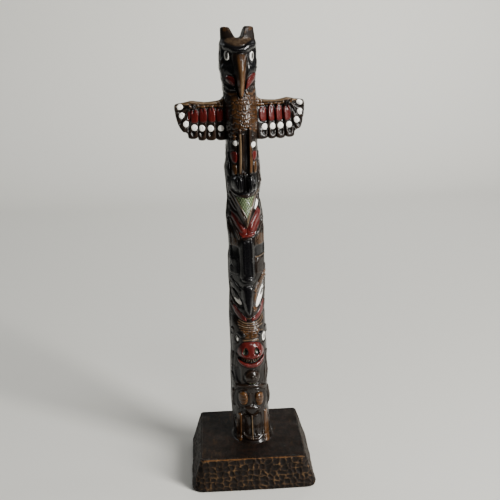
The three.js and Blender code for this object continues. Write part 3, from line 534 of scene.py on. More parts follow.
def carve_slant_eyes(c):
    bulge = area([(-5.8, 141.0), (-3.4, 143.2), (0, 143.8), (3.6, 143.2), (5.4, 141.8), (5.0, 139.6), (3.4, 138.2), (1.0, 137.6), (-1.6, 137.0), (-4.6, 136.0), (-6.2, 137.6)])
    c.form(bulge, 2.3, 4.2, 0.12, "black")
    c.groove(bar([(-4.8, 136.6), (-2.6, 137.4), (0.2, 137.6), (2.8, 138.2), (4.6, 139.4)], 0.1), 0.35, 0.6)
    nose = area([(-5.0, 136.8), (0, 137.8), (4.2, 136.6), (3.3, 130), (2.8, 124.6), (2.4, 120.4), (1.8, 117.6), (0.7, 115.7), (-0.8, 115.5), (-2.2, 117.4), (-3.2, 121), (-4.2, 125.1), (-4.7, 131)], 1)
    c.form(nose, 1.6, 2.8, 0.3, "black")
    s, d = c._part(nose)
    c.D[s] += np.interp(c.Z[s], [115.0, 116.6, 119, 124, 130, 136], [0.4, 2.4, 2.7, 1.7, 0.7, 0.0]) * ease(-0.2, 2.4, d)
    for u, z, r in ((1.9, 124.4, 0.8), (-1.8, 120.6, 0.9), (-2.3, 125.8, 0.7)):
        c.form(oval(u, z, r, r * 1.1), 0.3, r * 0.8, 0.0)
    # the right brow, gold, and its twin on the left painted black as painted shade
    brow = [(11.4, 146.6), (13.6, 146.4), (13.8, 141.8), (12.2, 139.8), (8.6, 134.8), (6.2, 131.4), (4.4, 132.0), (3.3, 133.6), (4.9, 136.4), (7.8, 140.4)]
    for side in (1, -1):
        b = area([(side * u - (0.9 if side < 0 else 0), z) for u, z in brow], 1)
        c.form(b, 1.3, 1.8, 0.4, "gold" if side > 0 else "black")
        c.strokes(b, 1.2, -side * 50, 0.3, 61 + side)
    # a tan stroke at the right brow's inner end is a painted highlight
    c.form(bar([(3.0, 133.2), (4.4, 134.2), (5.7, 135.4)], 0.34), 0.4, 0.35, 0.15, "tan")
    c.form(area([(4.2, 132.4), (6.6, 131.9), (5.8, 128.0), (4.7, 124.2), (4.0, 126.0)], 1), 0.5, 0.9, 0.25, "gold")
    c.form(bar([(3.8, 131.8), (3.6, 126.4)], 0.3), 0.35, 0.3, 0.2, "tan")
    right = area([(12.0, 139.6), (13.6, 139.0), (13.2, 135.0), (11.5, 129.8), (9.6, 125.4), (7.4, 121.8), (5.4, 121.2), (4.6, 122.6), (5.2, 125.4), (7.3, 130.6), (9.8, 135.2)], 1)
    left = area([(-9.2, 134.8), (-10.6, 133.2), (-9.9, 129.4), (-8.6, 126.0), (-6.6, 123.8), (-4.8, 123.1), (-3.9, 124.7), (-5.3, 127.6), (-6.8, 129.8), (-8.0, 132.4)], 1)
    for eye in (right, left):
        c.step_up(Shape(eye.box, lambda u, z, e=eye: e.sd(u, z) + 0.7), -0.9, 1.0)
        c.form(eye, 1.0, 1.4, 0.4, "white")
        c.outline(eye, 0.2)
    for pupil in (oval(9.6, 131.2, 0.78, 2.5, -17), oval(-7.9, 130.6, 1.3, 3.9, 22)):
        c.groove(pupil, 0.3, 0.3)
        c.paint(pupil, "ink")
    # painted shade: an ink patch darkens the upper part of the left eye
    c.paint(area([(-10.8, 134.6), (-8.2, 134.0), (-6.2, 129.6), (-7.6, 127.4), (-10.2, 129.0)], 1), "ink")
    cheek = [(2.6, 123.2), (4.6, 122.4), (6.6, 121.6), (6.0, 119.8), (4.6, 118.4), (2.6, 119.2)]
    # the right cheek is painted gold and the left one black as painted shade
    for side in (1, -1):
        b = area([(side * u - (0.9 if side < 0 else 0), z) for u, z in cheek])
        c.form(b, 0.6, 1.2, 0.25, "gold" if side > 0 else "black")
        c.form(bar([(side * 10.4, 124.0), (side * 12.2, 121.4), (side * 12.6, 117.6)], [0.5, 0.7, 0.8]), 0.5, 0.8, 0.25)
    c.groove(oval(3.6, 120.4, 0.4, 0.4), 0.5, 0.3)
    red_right = area([(10.6, 127.0), (12.2, 126.6), (12.4, 121.6), (10.8, 117.4), (8.7, 114.8), (6.4, 113.2), (3.6, 112.5), (0.9, 112.6), (1.3, 114.6), (3.6, 115.9), (5.4, 116.8),
                      (7.0, 118.2), (8.7, 121.3), (9.6, 123.9)], 1)
    red_left = area([(-10.8, 123.2), (-9.2, 123.4), (-7.8, 121.8), (-6.1, 119.4), (-4.7, 118.0), (-3.2, 116.6), (-1.7, 114.2), (-1.9, 112.1), (-4.0, 112.5), (-6.2, 113.7), (-8.0, 115.9),
                     (-9.5, 118.6)], 1)
    for r in (red_right, red_left):
        c.form(r, 0.9, 1.3, 0.4, "red")
        c.outline(r, 0.17)
    c.form(bar([(-5.0, 119.0), (-3.7, 117.1), (-2.6, 115.4)], 0.2), 0.25, 0.25, 0.15, "gold")
    c.form(bar([(-1.6, 114.6), (0.0, 114.4), (1.6, 114.4)], 0.4), 0.6, 0.5, 0.2, "gold")
    # rolls of the chin, each a shallow U
    for line, w, name in (([(-6.6, 113.0), (-3.8, 111.4), (0.2, 110.9), (4.4, 111.0), (7.6, 112.4), (9.6, 114.6)], 0.55, "tan"),
                          ([(-7.4, 111.6), (-4.2, 109.9), (0.0, 109.3), (4.6, 109.4), (8.2, 110.8), (10.2, 113.2)], 0.5, "gold"),
                          ([(-7.2, 109.8), (-3.6, 108.4), (0.8, 107.7), (5.2, 107.9), (8.8, 109.2)], 0.5, "tan"),
                          ([(-6.6, 107.9), (-3.0, 107.0), (1.4, 106.4), (6.0, 106.7)], 0.45, "gold")):
        c.form(bar(line, w), 0.75, w, 0.3, name)


def carve_bear(c):
    forehead = area([(-6.9, 107.0), (-3, 106.2), (0, 105.9), (4, 106.0), (7.6, 106.8), (6.2, 103.0), (5.8, 100.0), (0, 99.9), (-3.8, 99.9), (-4.8, 103.0)], 1)
    c.form(forehead, 0.8, 1.6, 0.35, "gold")
    s, d = c._part(forehead)
    u, z = c.U[s], c.Z[s]
    f1, f2, own = cells(u, z, 1.5, 71)
    pits = ease(0.55, 0.1, f1) * (own > 0.40)
    c.D[s] -= 0.45 * pits * ease(0, 0.6, d)
    c.P["ink"][s] = np.maximum(c.P["ink"][s], np.where(d > 0.3, (pits - 0.55) * 0.9, -4))
    for side, brow in ((-1, [(-8.4, 104.4), (-6, 104.9), (-4.2, 104.1), (-3.0, 102.6), (-3.5, 101.1), (-5.8, 100.6), (-7.4, 101.1), (-8.6, 102.8)]),
                       (1, [(5.4, 103.8), (7.4, 104.0), (9.8, 103.8), (9.4, 102.0), (7.3, 101.2), (5.6, 101.8)])):
        b = area(brow)
        c.form(b, 1.3, 1.4, 0.4, "black")
    # painted highlights: the light strokes on and over the black brows stand in for glints
    c.form(bar([(-4.3, 104.1), (-3.1, 102.6), (-3.7, 101.1)], 0.25), 0.35, 0.3, 0.2, "tan")
    c.form(bar([(6.0, 104.4), (7.6, 104.9), (9.3, 104.4)], 0.36), 0.4, 0.4, 0.25, "tan")
    c.form(bar([(5.7, 101.2), (7.1, 100.0)], 0.3), 0.3, 0.3, 0.2, "gold")
    for e, pupil in ((oval(-8.3, 99.7, 0.8, 2.2, 3), oval(-8.5, 100.4, 0.3, 0.9, 3)), (oval(10.2, 99.3, 1.6, 3.2, -5), oval(10.35, 99.5, 0.72, 1.9, -5))):
        c.step_up(Shape(e.box, lambda u, z, e=e: e.sd(u, z) + 0.6), -0.6, 0.9)
        c.form(e, 0.9, 1.0, 0.35, "white")
        c.outline(e, 0.24)
        c.paint(pupil, "ink")
        c.groove(pupil, 0.3, 0.3)
    c.paint(area([(-7.5, 102.0), (-6.0, 101.4), (-5.2, 98.4), (-6.8, 96.4), (-7.6, 98.2)]), "black")
    c.paint(area([(6.2, 101.2), (8.4, 102.0), (8.6, 98.0), (7.4, 96.8), (6.4, 98.6)]), "black")
    for side in (-1, 1):
        cheek = area([(side * 7.2, 97.5), (side * 9.6, 95.6), (side * 12.8, 93.0), (side * 12.8, 86), (side * 11.2, 85.6), (side * 10.2, 88.6), (side * 8.8, 93.0)])
        c.form(cheek, 0.4, 1.6, 0.3)
        c.strokes(cheek, 1.3, side * 58, 0.2, 75 + side)
    c.form(bar([(-4.4, 98.7), (0, 99.1), (5.4, 98.6)], 0.7), 0.6, 0.7, 0.25, "tan")
    snout = area([(-5.2, 97.4), (-2, 98.0), (1.6, 98.1), (4.8, 97.5), (6.8, 96.4), (8.6, 94.0), (9.8, 91.2), (9.9, 88.4), (8.2, 86.4), (5.3, 85.3), (1.8, 84.9), (-1.8, 85.0),
                  (-5.0, 85.6), (-7.5, 86.9), (-8.8, 89.0), (-8.5, 91.8), (-7.2, 94.8)], 1)
    c.form(snout, 1.7, 3.0, 0.4, "red")
    s, d = c._part(snout)
    c.D[s] += np.interp(c.Z[s], [84.8, 86.4, 89.5, 94, 98], [0.9, 2.1, 2.2, 1.2, 0.2]) * ease(-0.4, 2.8, d)
    c.outline(snout, 0.14)
    for nostril, wing in (
            ([(-3.6, 94.4), (-4.8, 92.7), (-5.4, 90.8), (-4.4, 89.4), (-2.5, 90.0), (-2.1, 92.0), (-2.8, 93.8)], [(-6.0, 92.8), (-6.2, 90.0), (-4.6, 88.2), (-2.0, 88.6)]),
            ([(3.6, 94.2), (2.5, 92.4), (2.6, 90.4), (4.0, 89.2), (5.6, 90.2), (5.4, 92.0), (4.6, 93.6)], [(1.9, 89.6), (3.8, 87.9), (6.2, 88.4), (6.6, 91.0)])):
        c.form(bar(wing, 0.9), 0.35, 0.9, 0.0)
        n = area(nostril)
        c.step_up(n, -1.6, 1.1)
        c.paint(n, "green")
        c.outline(n, 0.36)
        m = (nostril[0][0] + nostril[3][0]) / 2
        c.paint(bar([(nostril[0][0], 93.4), (m + 0.5, 91.6), (m + 0.5, 90.2)], [0.4, 0.75, 0.6]), "ink")
    # mouth: a sunk row of teeth over a rolled red lip
    row = area([(-8.0, 87.0), (-5, 85.8), (-1.8, 85.2), (1.8, 85.1), (5.3, 85.5), (8.6, 86.9), (9.2, 86.0), (7.2, 83.9), (4.2, 82.6), (0.9, 82.1), (-2.6, 82.4), (-5.5, 83.3), (-7.6, 84.9)], 1)
    c.step_up(row, -1.4, 0.8)
    c.paint(row, "ink")
    for k, u in enumerate((-5.7, -4.3, -2.8, -1.3, 0.3, 1.9, 3.5, 5.1, 6.6)):
        m = 83.7 + 0.026 * (u - 0.7) ** 2 + 0.12 * math.sin(k * 2.7)
        tooth = area([(u - 0.66, m + 1.0), (u + 0.66, m + 1.0), (u + 0.6, m - 0.7 + 0.15 * (k % 2)), (u, m - 1.05), (u - 0.6, m - 0.75)], 1)
        c.form(tooth, 0.9, 0.5, 0.2, "tan")
        c.scrape(shrink(tooth, 0.1), "ink")
    lip = area([(-8.8, 86.0), (-7.6, 84.8), (-5.5, 83.4), (-2.6, 82.4), (0.9, 82.0), (4.2, 82.6), (7.0, 83.9), (8.8, 86.2), (10.2, 87.0), (10.2, 84.2), (8.7, 81.4), (6.2, 79.5), (3.4, 78.9),
                (0.8, 78.7), (-2, 79.0), (-4.6, 79.9), (-6.8, 81.4), (-8.5, 83.2)], 1)
    c.form(lip, 1.6, 1.5, 0.4, "red")
    c.outline(lip, 0.16)
    for side in (-1, 1):
        c.form(bar([(side * 9.8 + 0.6, 88), (side * 11.0 + 0.4, 84), (side * 11.4 + 0.4, 79)], 0.9), 0.5, 0.9, 0.25)


def carve_cub(c):
    for side in (-1, 1):
        hollow = area([(side * 6.8, 79.2), (side * 9.8, 78.4), (side * 9.6, 70), (side * 8.0, 66.6), (side * 6.6, 68.6)])
        c.step_up(hollow, -1.2 if side < 0 else -0.5, 1.6)
        # painted shadow: the left hollow and the strip beside it are painted black, the right hollow is not
        if side < 0:
            c.paint(hollow, "black")
            c.paint(area([(-13, 79), (-9.4, 78.4), (-8.4, 68), (-13, 67)]), "black")
        c.form(bar([(side * 11.4, 78), (side * 11.2, 70), (side * 11.6, 64)], [1.4, 1.6, 1.6]), 0.6, 1.5, 0.3)
        c.strokes(area([(side * 9.8, 79), (side * 13.4, 79), (side * 13.4, 62), (side * 9.8, 64)], 1), 1.3, side * 66, 0.18, 81 + side)
    ball = oval(0.8, 71.8, 5.6, 5.3)
    s, d = c._part(ball)
    k = 1 - ((c.U[s] - 0.8) / 5.7) ** 2 - ((c.Z[s] - 71.8) / 5.4) ** 2
    c.D[s] += 3.2 * np.sqrt(np.clip(k, 0, 1))
    c.groove(ball, 0.5, 0.5)
    # its face, only just raised: a brow, two eyes, a mouth
    c.groove(bar([(-2.9, 73.4), (-1.6, 74.9), (0.6, 75.6), (2.8, 75.3), (4.3, 73.8)], 0.1), 0.22, 0.35)
    c.form(oval(-1.9, 72.2, 1.0, 1.1), 0.18, 0.9, 0.18)
    c.form(oval(3.3, 71.9, 1.1, 1.1), 0.18, 0.9, 0.18)
    c.form(bar([(0.6, 73.2), (0.7, 70.8)], [0.6, 0.9]), 0.22, 0.8, 0.1)
    c.groove(bar([(-2.2, 69.4), (0.5, 69.7), (3.2, 69.3)], 0.12), 0.28, 0.35)
    for spot in (oval(-1.0, 67.7, 0.7, 0.42), oval(1.7, 67.7, 0.85, 0.42)):
        c.form(spot, 0.2, 0.4, 0.12, "green")
    c.form(bar([(-12.8, 50), (-13.0, 57), (-11.8, 61.9), (-9.2, 64.7), (-4, 65.4), (1.4, 65.3), (6.0, 64.7), (10.2, 62.4), (12.6, 58.2), (13.6, 53), (13.2, 48)], 1.5), 1.2, 1.7, 0.18)
    # forearms: rolls of fur bending round each paw
    for side, cu, cz in ((-1, -5.9, 56.2), (1, 5.3, 55.2)):
        c.form(bar([(side * 3.0, 62.2), (side * 6.4, 62.8), (side * 9.3, 61.0), (side * 10.6, 56.6), (side * 10.2, 51.6), (side * 8.6, 48.2)], [0.6, 0.8, 0.9, 0.9, 0.9, 0.7]), 0.4, 0.9, 0.1)
        paw = area([(cu - 2.6, cz + 4.2), (cu, cz + 5.4), (cu + 2.6, cz + 4.2), (cu + 3.3, cz + 0.6), (cu + 2.8, cz - 3.4), (cu + 0.6, cz - 5.2), (cu - 1.8, cz - 4.8), (cu - 3.1, cz - 1.6), (cu - 3.3, cz + 1.4)], 1)
        c.form(paw, 2.6, 3.0, 0.4, "gold")
        for k, dz in enumerate((2.1, -0.3, -2.6)):
            c.groove(bar([(cu - 2.4, cz + dz + 0.4), (cu - 0.4, cz + dz - 0.2), (cu + 2.0, cz + dz + 0.5)], 0.1), 0.26, 0.36)
        c.paint(bar([(cu + side * 3.6, cz + 3.6), (cu + side * 3.9, cz), (cu + side * 3.0, cz - 4.2)], [0.2, 0.4, 0.2]), "ink")
    c.step_up(bar([(0.4, 58.6), (0.4, 52.0)], 0.9), -0.5, 1.0)
    c.form(bar([(-1.5, 59.6), (-1.4, 53.0)], 0.6), 0.35, 0.6, 0.15)
    c.groove(oval(0.8, 52.0, 0.5, 0.5), 0.5, 0.4)


def carve_feet(c):
    belly = area([(-5.2, 50.2), (0, 51.0), (5.9, 49.4), (6.2, 47.4), (4.6, 45.6), (2.2, 44.0), (-0.1, 42.6), (-2.4, 44.0), (-4.8, 46.2), (-5.6, 48.4)])
    c.form(belly, 1.3, 2.8, 0.2)
    for side, inner, outer in ((-1, -0.9, -6.0), (1, 0.3, 6.6)):
        m = (inner + outer) / 2
        toe = area([(inner, 41.8), (m, 44.0), (outer, 44.2), (outer + side * 0.3, 34), (outer + side * 0.2, 28.8), (m, 28.0), (inner + side * 0.2, 28.6), (inner, 35)], 1)
        c.form(toe, -0.6, 1.1, 0.15)
        c.form(bar([(m, 41), (m - side * 0.1, 35), (m, 29.4)], abs(outer - inner) * 0.30), 0.4, 1.5, 0.0)
    for leg in (bar([(-8.6, 43.0), (-8.9, 36), (-9.4, 25.4)], [1.5, 1.8, 1.9]), bar([(9.9, 43.8), (10.1, 36), (10.2, 24.6)], [1.5, 1.8, 1.9])):
        c.form(leg, 1.1, 1.7, 0.25, "gold")
    c.paint(bar([(-6.9, 43.4), (-7.0, 34), (-7.4, 26)], 0.12), "ink")
    c.form(bar([(-6.8, 29.0), (-4.2, 26.8), (-0.4, 25.9), (3.6, 26.2), (6.6, 27.6), (7.6, 29.4)], [0.8, 1.1, 1.2, 1.2, 1.1, 0.8]), 0.9, 1.2, 0.1)
    c.form(bar([(-0.3, 42.4), (-0.35, 34), (-0.4, 26.4)], 0.42), 0.8, 0.42, 0.3, "tan")
    c.form(bar([(-4.8, 46.0), (-2.4, 43.9), (-0.2, 42.4)], 0.3), 0.35, 0.3, 0.15, "gold")
    c.form(bar([(4.6, 45.4), (2.2, 43.8), (0.1, 42.4)], 0.3), 0.35, 0.3, 0.15, "gold")
    c.paint(oval(-7.2, 47.0, 1.2, 1.9), "black")
    c.groove(oval(-7.2, 47.0, 1.2, 1.9), 0.35, 0.4)


def carve_front():
    c = Canvas(-15.5, 15.5, 18.0, 308.0)
    carve_head(c)
    carve_scales(c)
    carve_legs(c)
    carve_long_nose(c)
    carve_long_body(c)
    carve_slant_eyes(c)
    carve_bear(c)
    carve_cub(c)
    carve_feet(c)
    # nothing hand-made is even: soft waves, then the blunting of a mould
    for low, high, deep in ((176.0, 202.0, 2.8), (112.0, 142.0, 2.4)):
        c.D -= deep * ease(1.5, 8.5, np.abs(c.U - 0.3)) * ease(low - 4, low + 5, c.Z) * ease(high + 4, high - 5, c.Z)
    c.D += 0.10 * wander(c.U, c.Z, 5.0, 1) + 0.05 * wander(c.U, c.Z, 2.1, 2)
    c.D = blur(c.D, 1)
    return c


# ------------------------------------------------------------------ the pole's sides, unrolled: along from -9 (front) to 14 (back), 0 at the widest
def carve_side():
    c = Canvas(-9.5, 14.5, 18.0, 308.0)
    # the cut that parts the figures from the plain back, wandering with them
    edge = [(-2.2, 292), (-1.6, 280), (-2.6, 268), (-3.0, 262)]
    c.groove(bar(edge, 0.15), 0.7, 0.6)
    c.groove(bar([(-2.6, 231), (-1.6, 222), (-0.8, 210), (-2.4, 199), (-1.2, 188), (-2.0, 174), (-3.2, 166), (-1.2, 156), (-1.4, 144), (-2.8, 136),
                  (-1.6, 124), (-2.6, 112), (-1.4, 102), (-2.4, 90), (-3.0, 80), (-1.8, 70), (-1.0, 56), (-2.8, 46), (-2.0, 34), (-1.4, 27)], 0.15), 0.8, 0.6)
    c.form(bar([(0.2, 228), (0.8, 214), (-0.2, 200), (0.6, 186), (-0.2, 168), (0.8, 150), (-0.4, 134), (0.4, 118), (0.4, 98), (-0.8, 82), (0.6, 62), (-0.4, 44), (0.2, 29)], 1.1), 0.5, 1.1, 0.2)
    # swept feathers behind the bird's eye
    for k in range(4):
        c.form(bar([(-7.6, 286.5 - 4.6 * k), (-4.4, 283.6 - 4.6 * k), (-2.6, 279.6 - 4.6 * k)], [1.4, 1.7, 1.2]), 0.6, 1.2, 0.3)
        c.form(bar([(-0.6, 289.5 - 5.6 * k), (2.6, 287.0 - 5.6 * k), (4.6, 282.4 - 5.6 * k)], [1.2, 1.7, 1.3]), 0.6, 1.3, 0.3)
    c.paint(area([(-9.5, 293), (-2.4, 292), (-1.6, 280), (-2.8, 268), (-9.5, 266)]), "black")
    c.paint(area([(-9.5, 277.5), (-6.6, 276.4), (-5.4, 273.6), (-7.0, 271.4), (-9.5, 271.0)]), "red")
    # flank feathers under the wing
    for k, (a, top, end) in enumerate(((-6.4, 230, 211), (-4.2, 227, 206), (4.0, 231, 209), (7.4, 228, 204))):
        c.form(area([(a - 1.5, top), (a + 1.5, top), (a + 1.6, end + 2), (a, end - 0.8), (a - 1.6, end + 2)]), 0.7, 1.2, 0.3)
        c.groove(bar([(a, top - 2), (a, end + 3)], 0.1), 0.3, 0.3)
    # ears
    for a, z, ru, rz in ((-5.6, 197.6, 2.2, 3.4), (-5.4, 140.8, 2.6, 3.2), (-4.6, 104.2, 2.8, 3.4)):
        e = oval(a, z, ru, rz, 18)
        c.form(e, 0.9, 1.2, 0.45)
        c.step_up(oval(a, z - 0.3, ru * 0.5, rz * 0.5, 18), -0.6, 0.8)
        c.paint(oval(a, z - 0.3, ru * 0.5, rz * 0.5, 18), "ink")
    # upper arms and the hands laid on the belly
    for top, elbow, wrist in (((-4.8, 182), (-3.4, 164), (-7.6, 152)), ((-4.6, 88), (-3.0, 74), (-7.4, 66))):
        c.form(bar([top, elbow, wrist], [1.7, 1.9, 1.4]), 0.9, 1.6, 0.4)
        c.strokes(bar([top, elbow, wrist], [1.7, 1.9, 1.4]), 1.3, 24, 0.28, int(top[1]))
    # knees, haunch and foot
    for a, z, ru, rz in ((-5.6, 147.6, 2.6, 4.0), (-5.0, 120.4, 2.4, 5.2), (-4.6, 55.4, 2.6, 7.0), (-5.2, 33.4, 2.2, 6.4)):
        c.form(oval(a, z, ru, rz, -8), 0.9, 1.8, 0.45)
        c.groove(oval(a, z, ru * 0.5, rz * 0.55, -8), 0.35, 0.35)
    c.paint(oval(-5.6, 147.6, 1.4, 2.2, -8), "gold")
    c.paint(oval(-4.6, 55.4, 1.3, 3.8, -8), "gold")
    c.paint(area([(-9.5, 168), (-2.8, 166), (-1.4, 158), (-9.5, 157)]), "black")
    # short gouge strokes down the strip behind the cut
    for k, z in enumerate(np.arange(30, 228, 5.3)):
        a = 3.6 + 1.2 * math.sin(k * 2.1)
        c.groove(bar([(a - 1.2, z), (a + 1.0, z + 3.0 + math.sin(k * 1.3))], 0.12), 0.3, 0.45)
    c.D = blur(c.D + 0.08 * wander(c.U, c.Z, 4.0, 15), 1)
    return c


def gouges(arc, z):
    """Broad upright gouge marks of the plain back: how far in, and their ridges."""
    f1, f2, own = cells(arc + 0.8 * wander(arc, z, 9.0, 9), z / 3.4, 4.4, 5)
    return -0.34 * ease(0.0, 0.9, f2 - f1) * ease(23, 30, z), ease(0.30, 0.02, f2 - f1)


# ------------------------------------------------------------------ the wings
RIGHT = {
    "cut": [(9.0, 10.5), (17.6, 17.8), (22.6, 23.25), (27.4, 29.2), (32.9, 35.25)],
    "end": [233.2, 233.2, 233.15, 233.7],
    "tip": [(35.25, 235.8), (35.6, 237.4), (36.6, 238.25), (37.6, 238.6), (38.6, 238.95), (39.6, 239.9), (40.3, 241.5), (40.9, 244), (41.3, 246.2),
            (41.5, 246.9), (41.85, 248.6), (42.1, 251), (42.3, 252.9), (42.36, 253.6), (42.4, 255.0)],
    "top": [(6, 263.6), (9.5, 262.8), (10.9, 261.9), (12, 260.2), (14, 259.1), (17, 258.7), (20, 258.45), (23, 258.3), (26, 258.6), (29, 259.2), (31, 259.6),
            (33, 259.2), (36, 258.5), (40, 258.0), (41.5, 257.6), (42.1, 257.0), (42.4, 256.2)],
    "short": [(14.9, 2.6, 253.6), (20.2, 2.45, 254.4), (25.2, 2.4, 254.4), (30.3, 2.6, 254.2)], "short_end": 245.1,
    "dots": [(15.7, 241.4), (20.9, 241.6), (26.0, 241.8), (31.7, 242.1), (36.8, 245.0), (39.1, 250.2), (38.9, 256.0)],
    "notch": [(15.3, 237.6), (21.1, 237.6), (26.5, 237.8), (32.3, 238.4)], "boss": (30.6, 255.9, 1.75),
}
LEFT = {
    "cut": [(9.0, 10.2), (16.0, 16.0), (21.0, 22.5), (26.8, 27.75), (31.9, 34.1)],
    "end": [233.8, 234.0, 234.2, 235.5],
    "tip": [(34.1, 237.4), (34.5, 239.0), (35.4, 239.8), (36.5, 239.95), (37.5, 240.5), (39.0, 242.5), (40.2, 245), (40.8, 247), (41.3, 249.3), (41.7, 251),
            (41.75, 253.0), (42.0, 253.6), (42.15, 255.0)],
    "top": [(6, 263.6), (9.5, 262.6), (11.2, 261.4), (12, 260.2), (13, 259.6), (15, 259.2), (20, 258.75), (23, 258.75), (26, 259.2), (30.5, 259.9), (32, 259.8),
            (36, 259.0), (40, 258.5), (41.5, 258.0), (42.15, 257.2)],
    "short": [(13.6, 2.2, 254.0), (18.6, 2.5, 254.6), (24.2, 2.6, 254.3), (30.3, 3.2, 253.8)], "short_end": 246.0,
    "dots": [(12.9, 241.7), (19.5, 242.0), (25.2, 242.4), (30.0, 243.0), (35.1, 245.5), (37.6, 250.9), (38.6, 256.4)],
    "notch": [(13.0, 238.2), (19.6, 238.3), (25.4, 238.6), (30.9, 239.3)], "boss": (29.8, 256.2, 1.5),
}


def wing_bottom(w, x):
    """Height of the wing's lower outline."""
    x = np.asarray(x, float)
    z = np.interp(x, *np.array(w["tip"]).T)
    ends = [c[1] for c in w["cut"]]
    ends[0] = 8.0
    for a, b, e in zip(ends[:-1], ends[1:], w["end"]):
        t = np.clip((x - (a + b) / 2) / ((b - a) / 2), -1, 1)
        y = e + 1.35 * (1 - np.sqrt(np.clip(1 - np.abs(t) ** 3.2, 0, 1)))
        z = np.where((x >= a) & (x < b), y, z)
    return np.where(x < 8.0, w["end"][0] + 1.0, z)


def tilt(c, shape, middle, slope):
    """Lays a feather over its outer neighbour: its inner edge stands higher."""
    s, d = c._part(shape)
    c.D[s] += slope * (middle - c.U[s]) * ease(-0.1, 0.5, d)


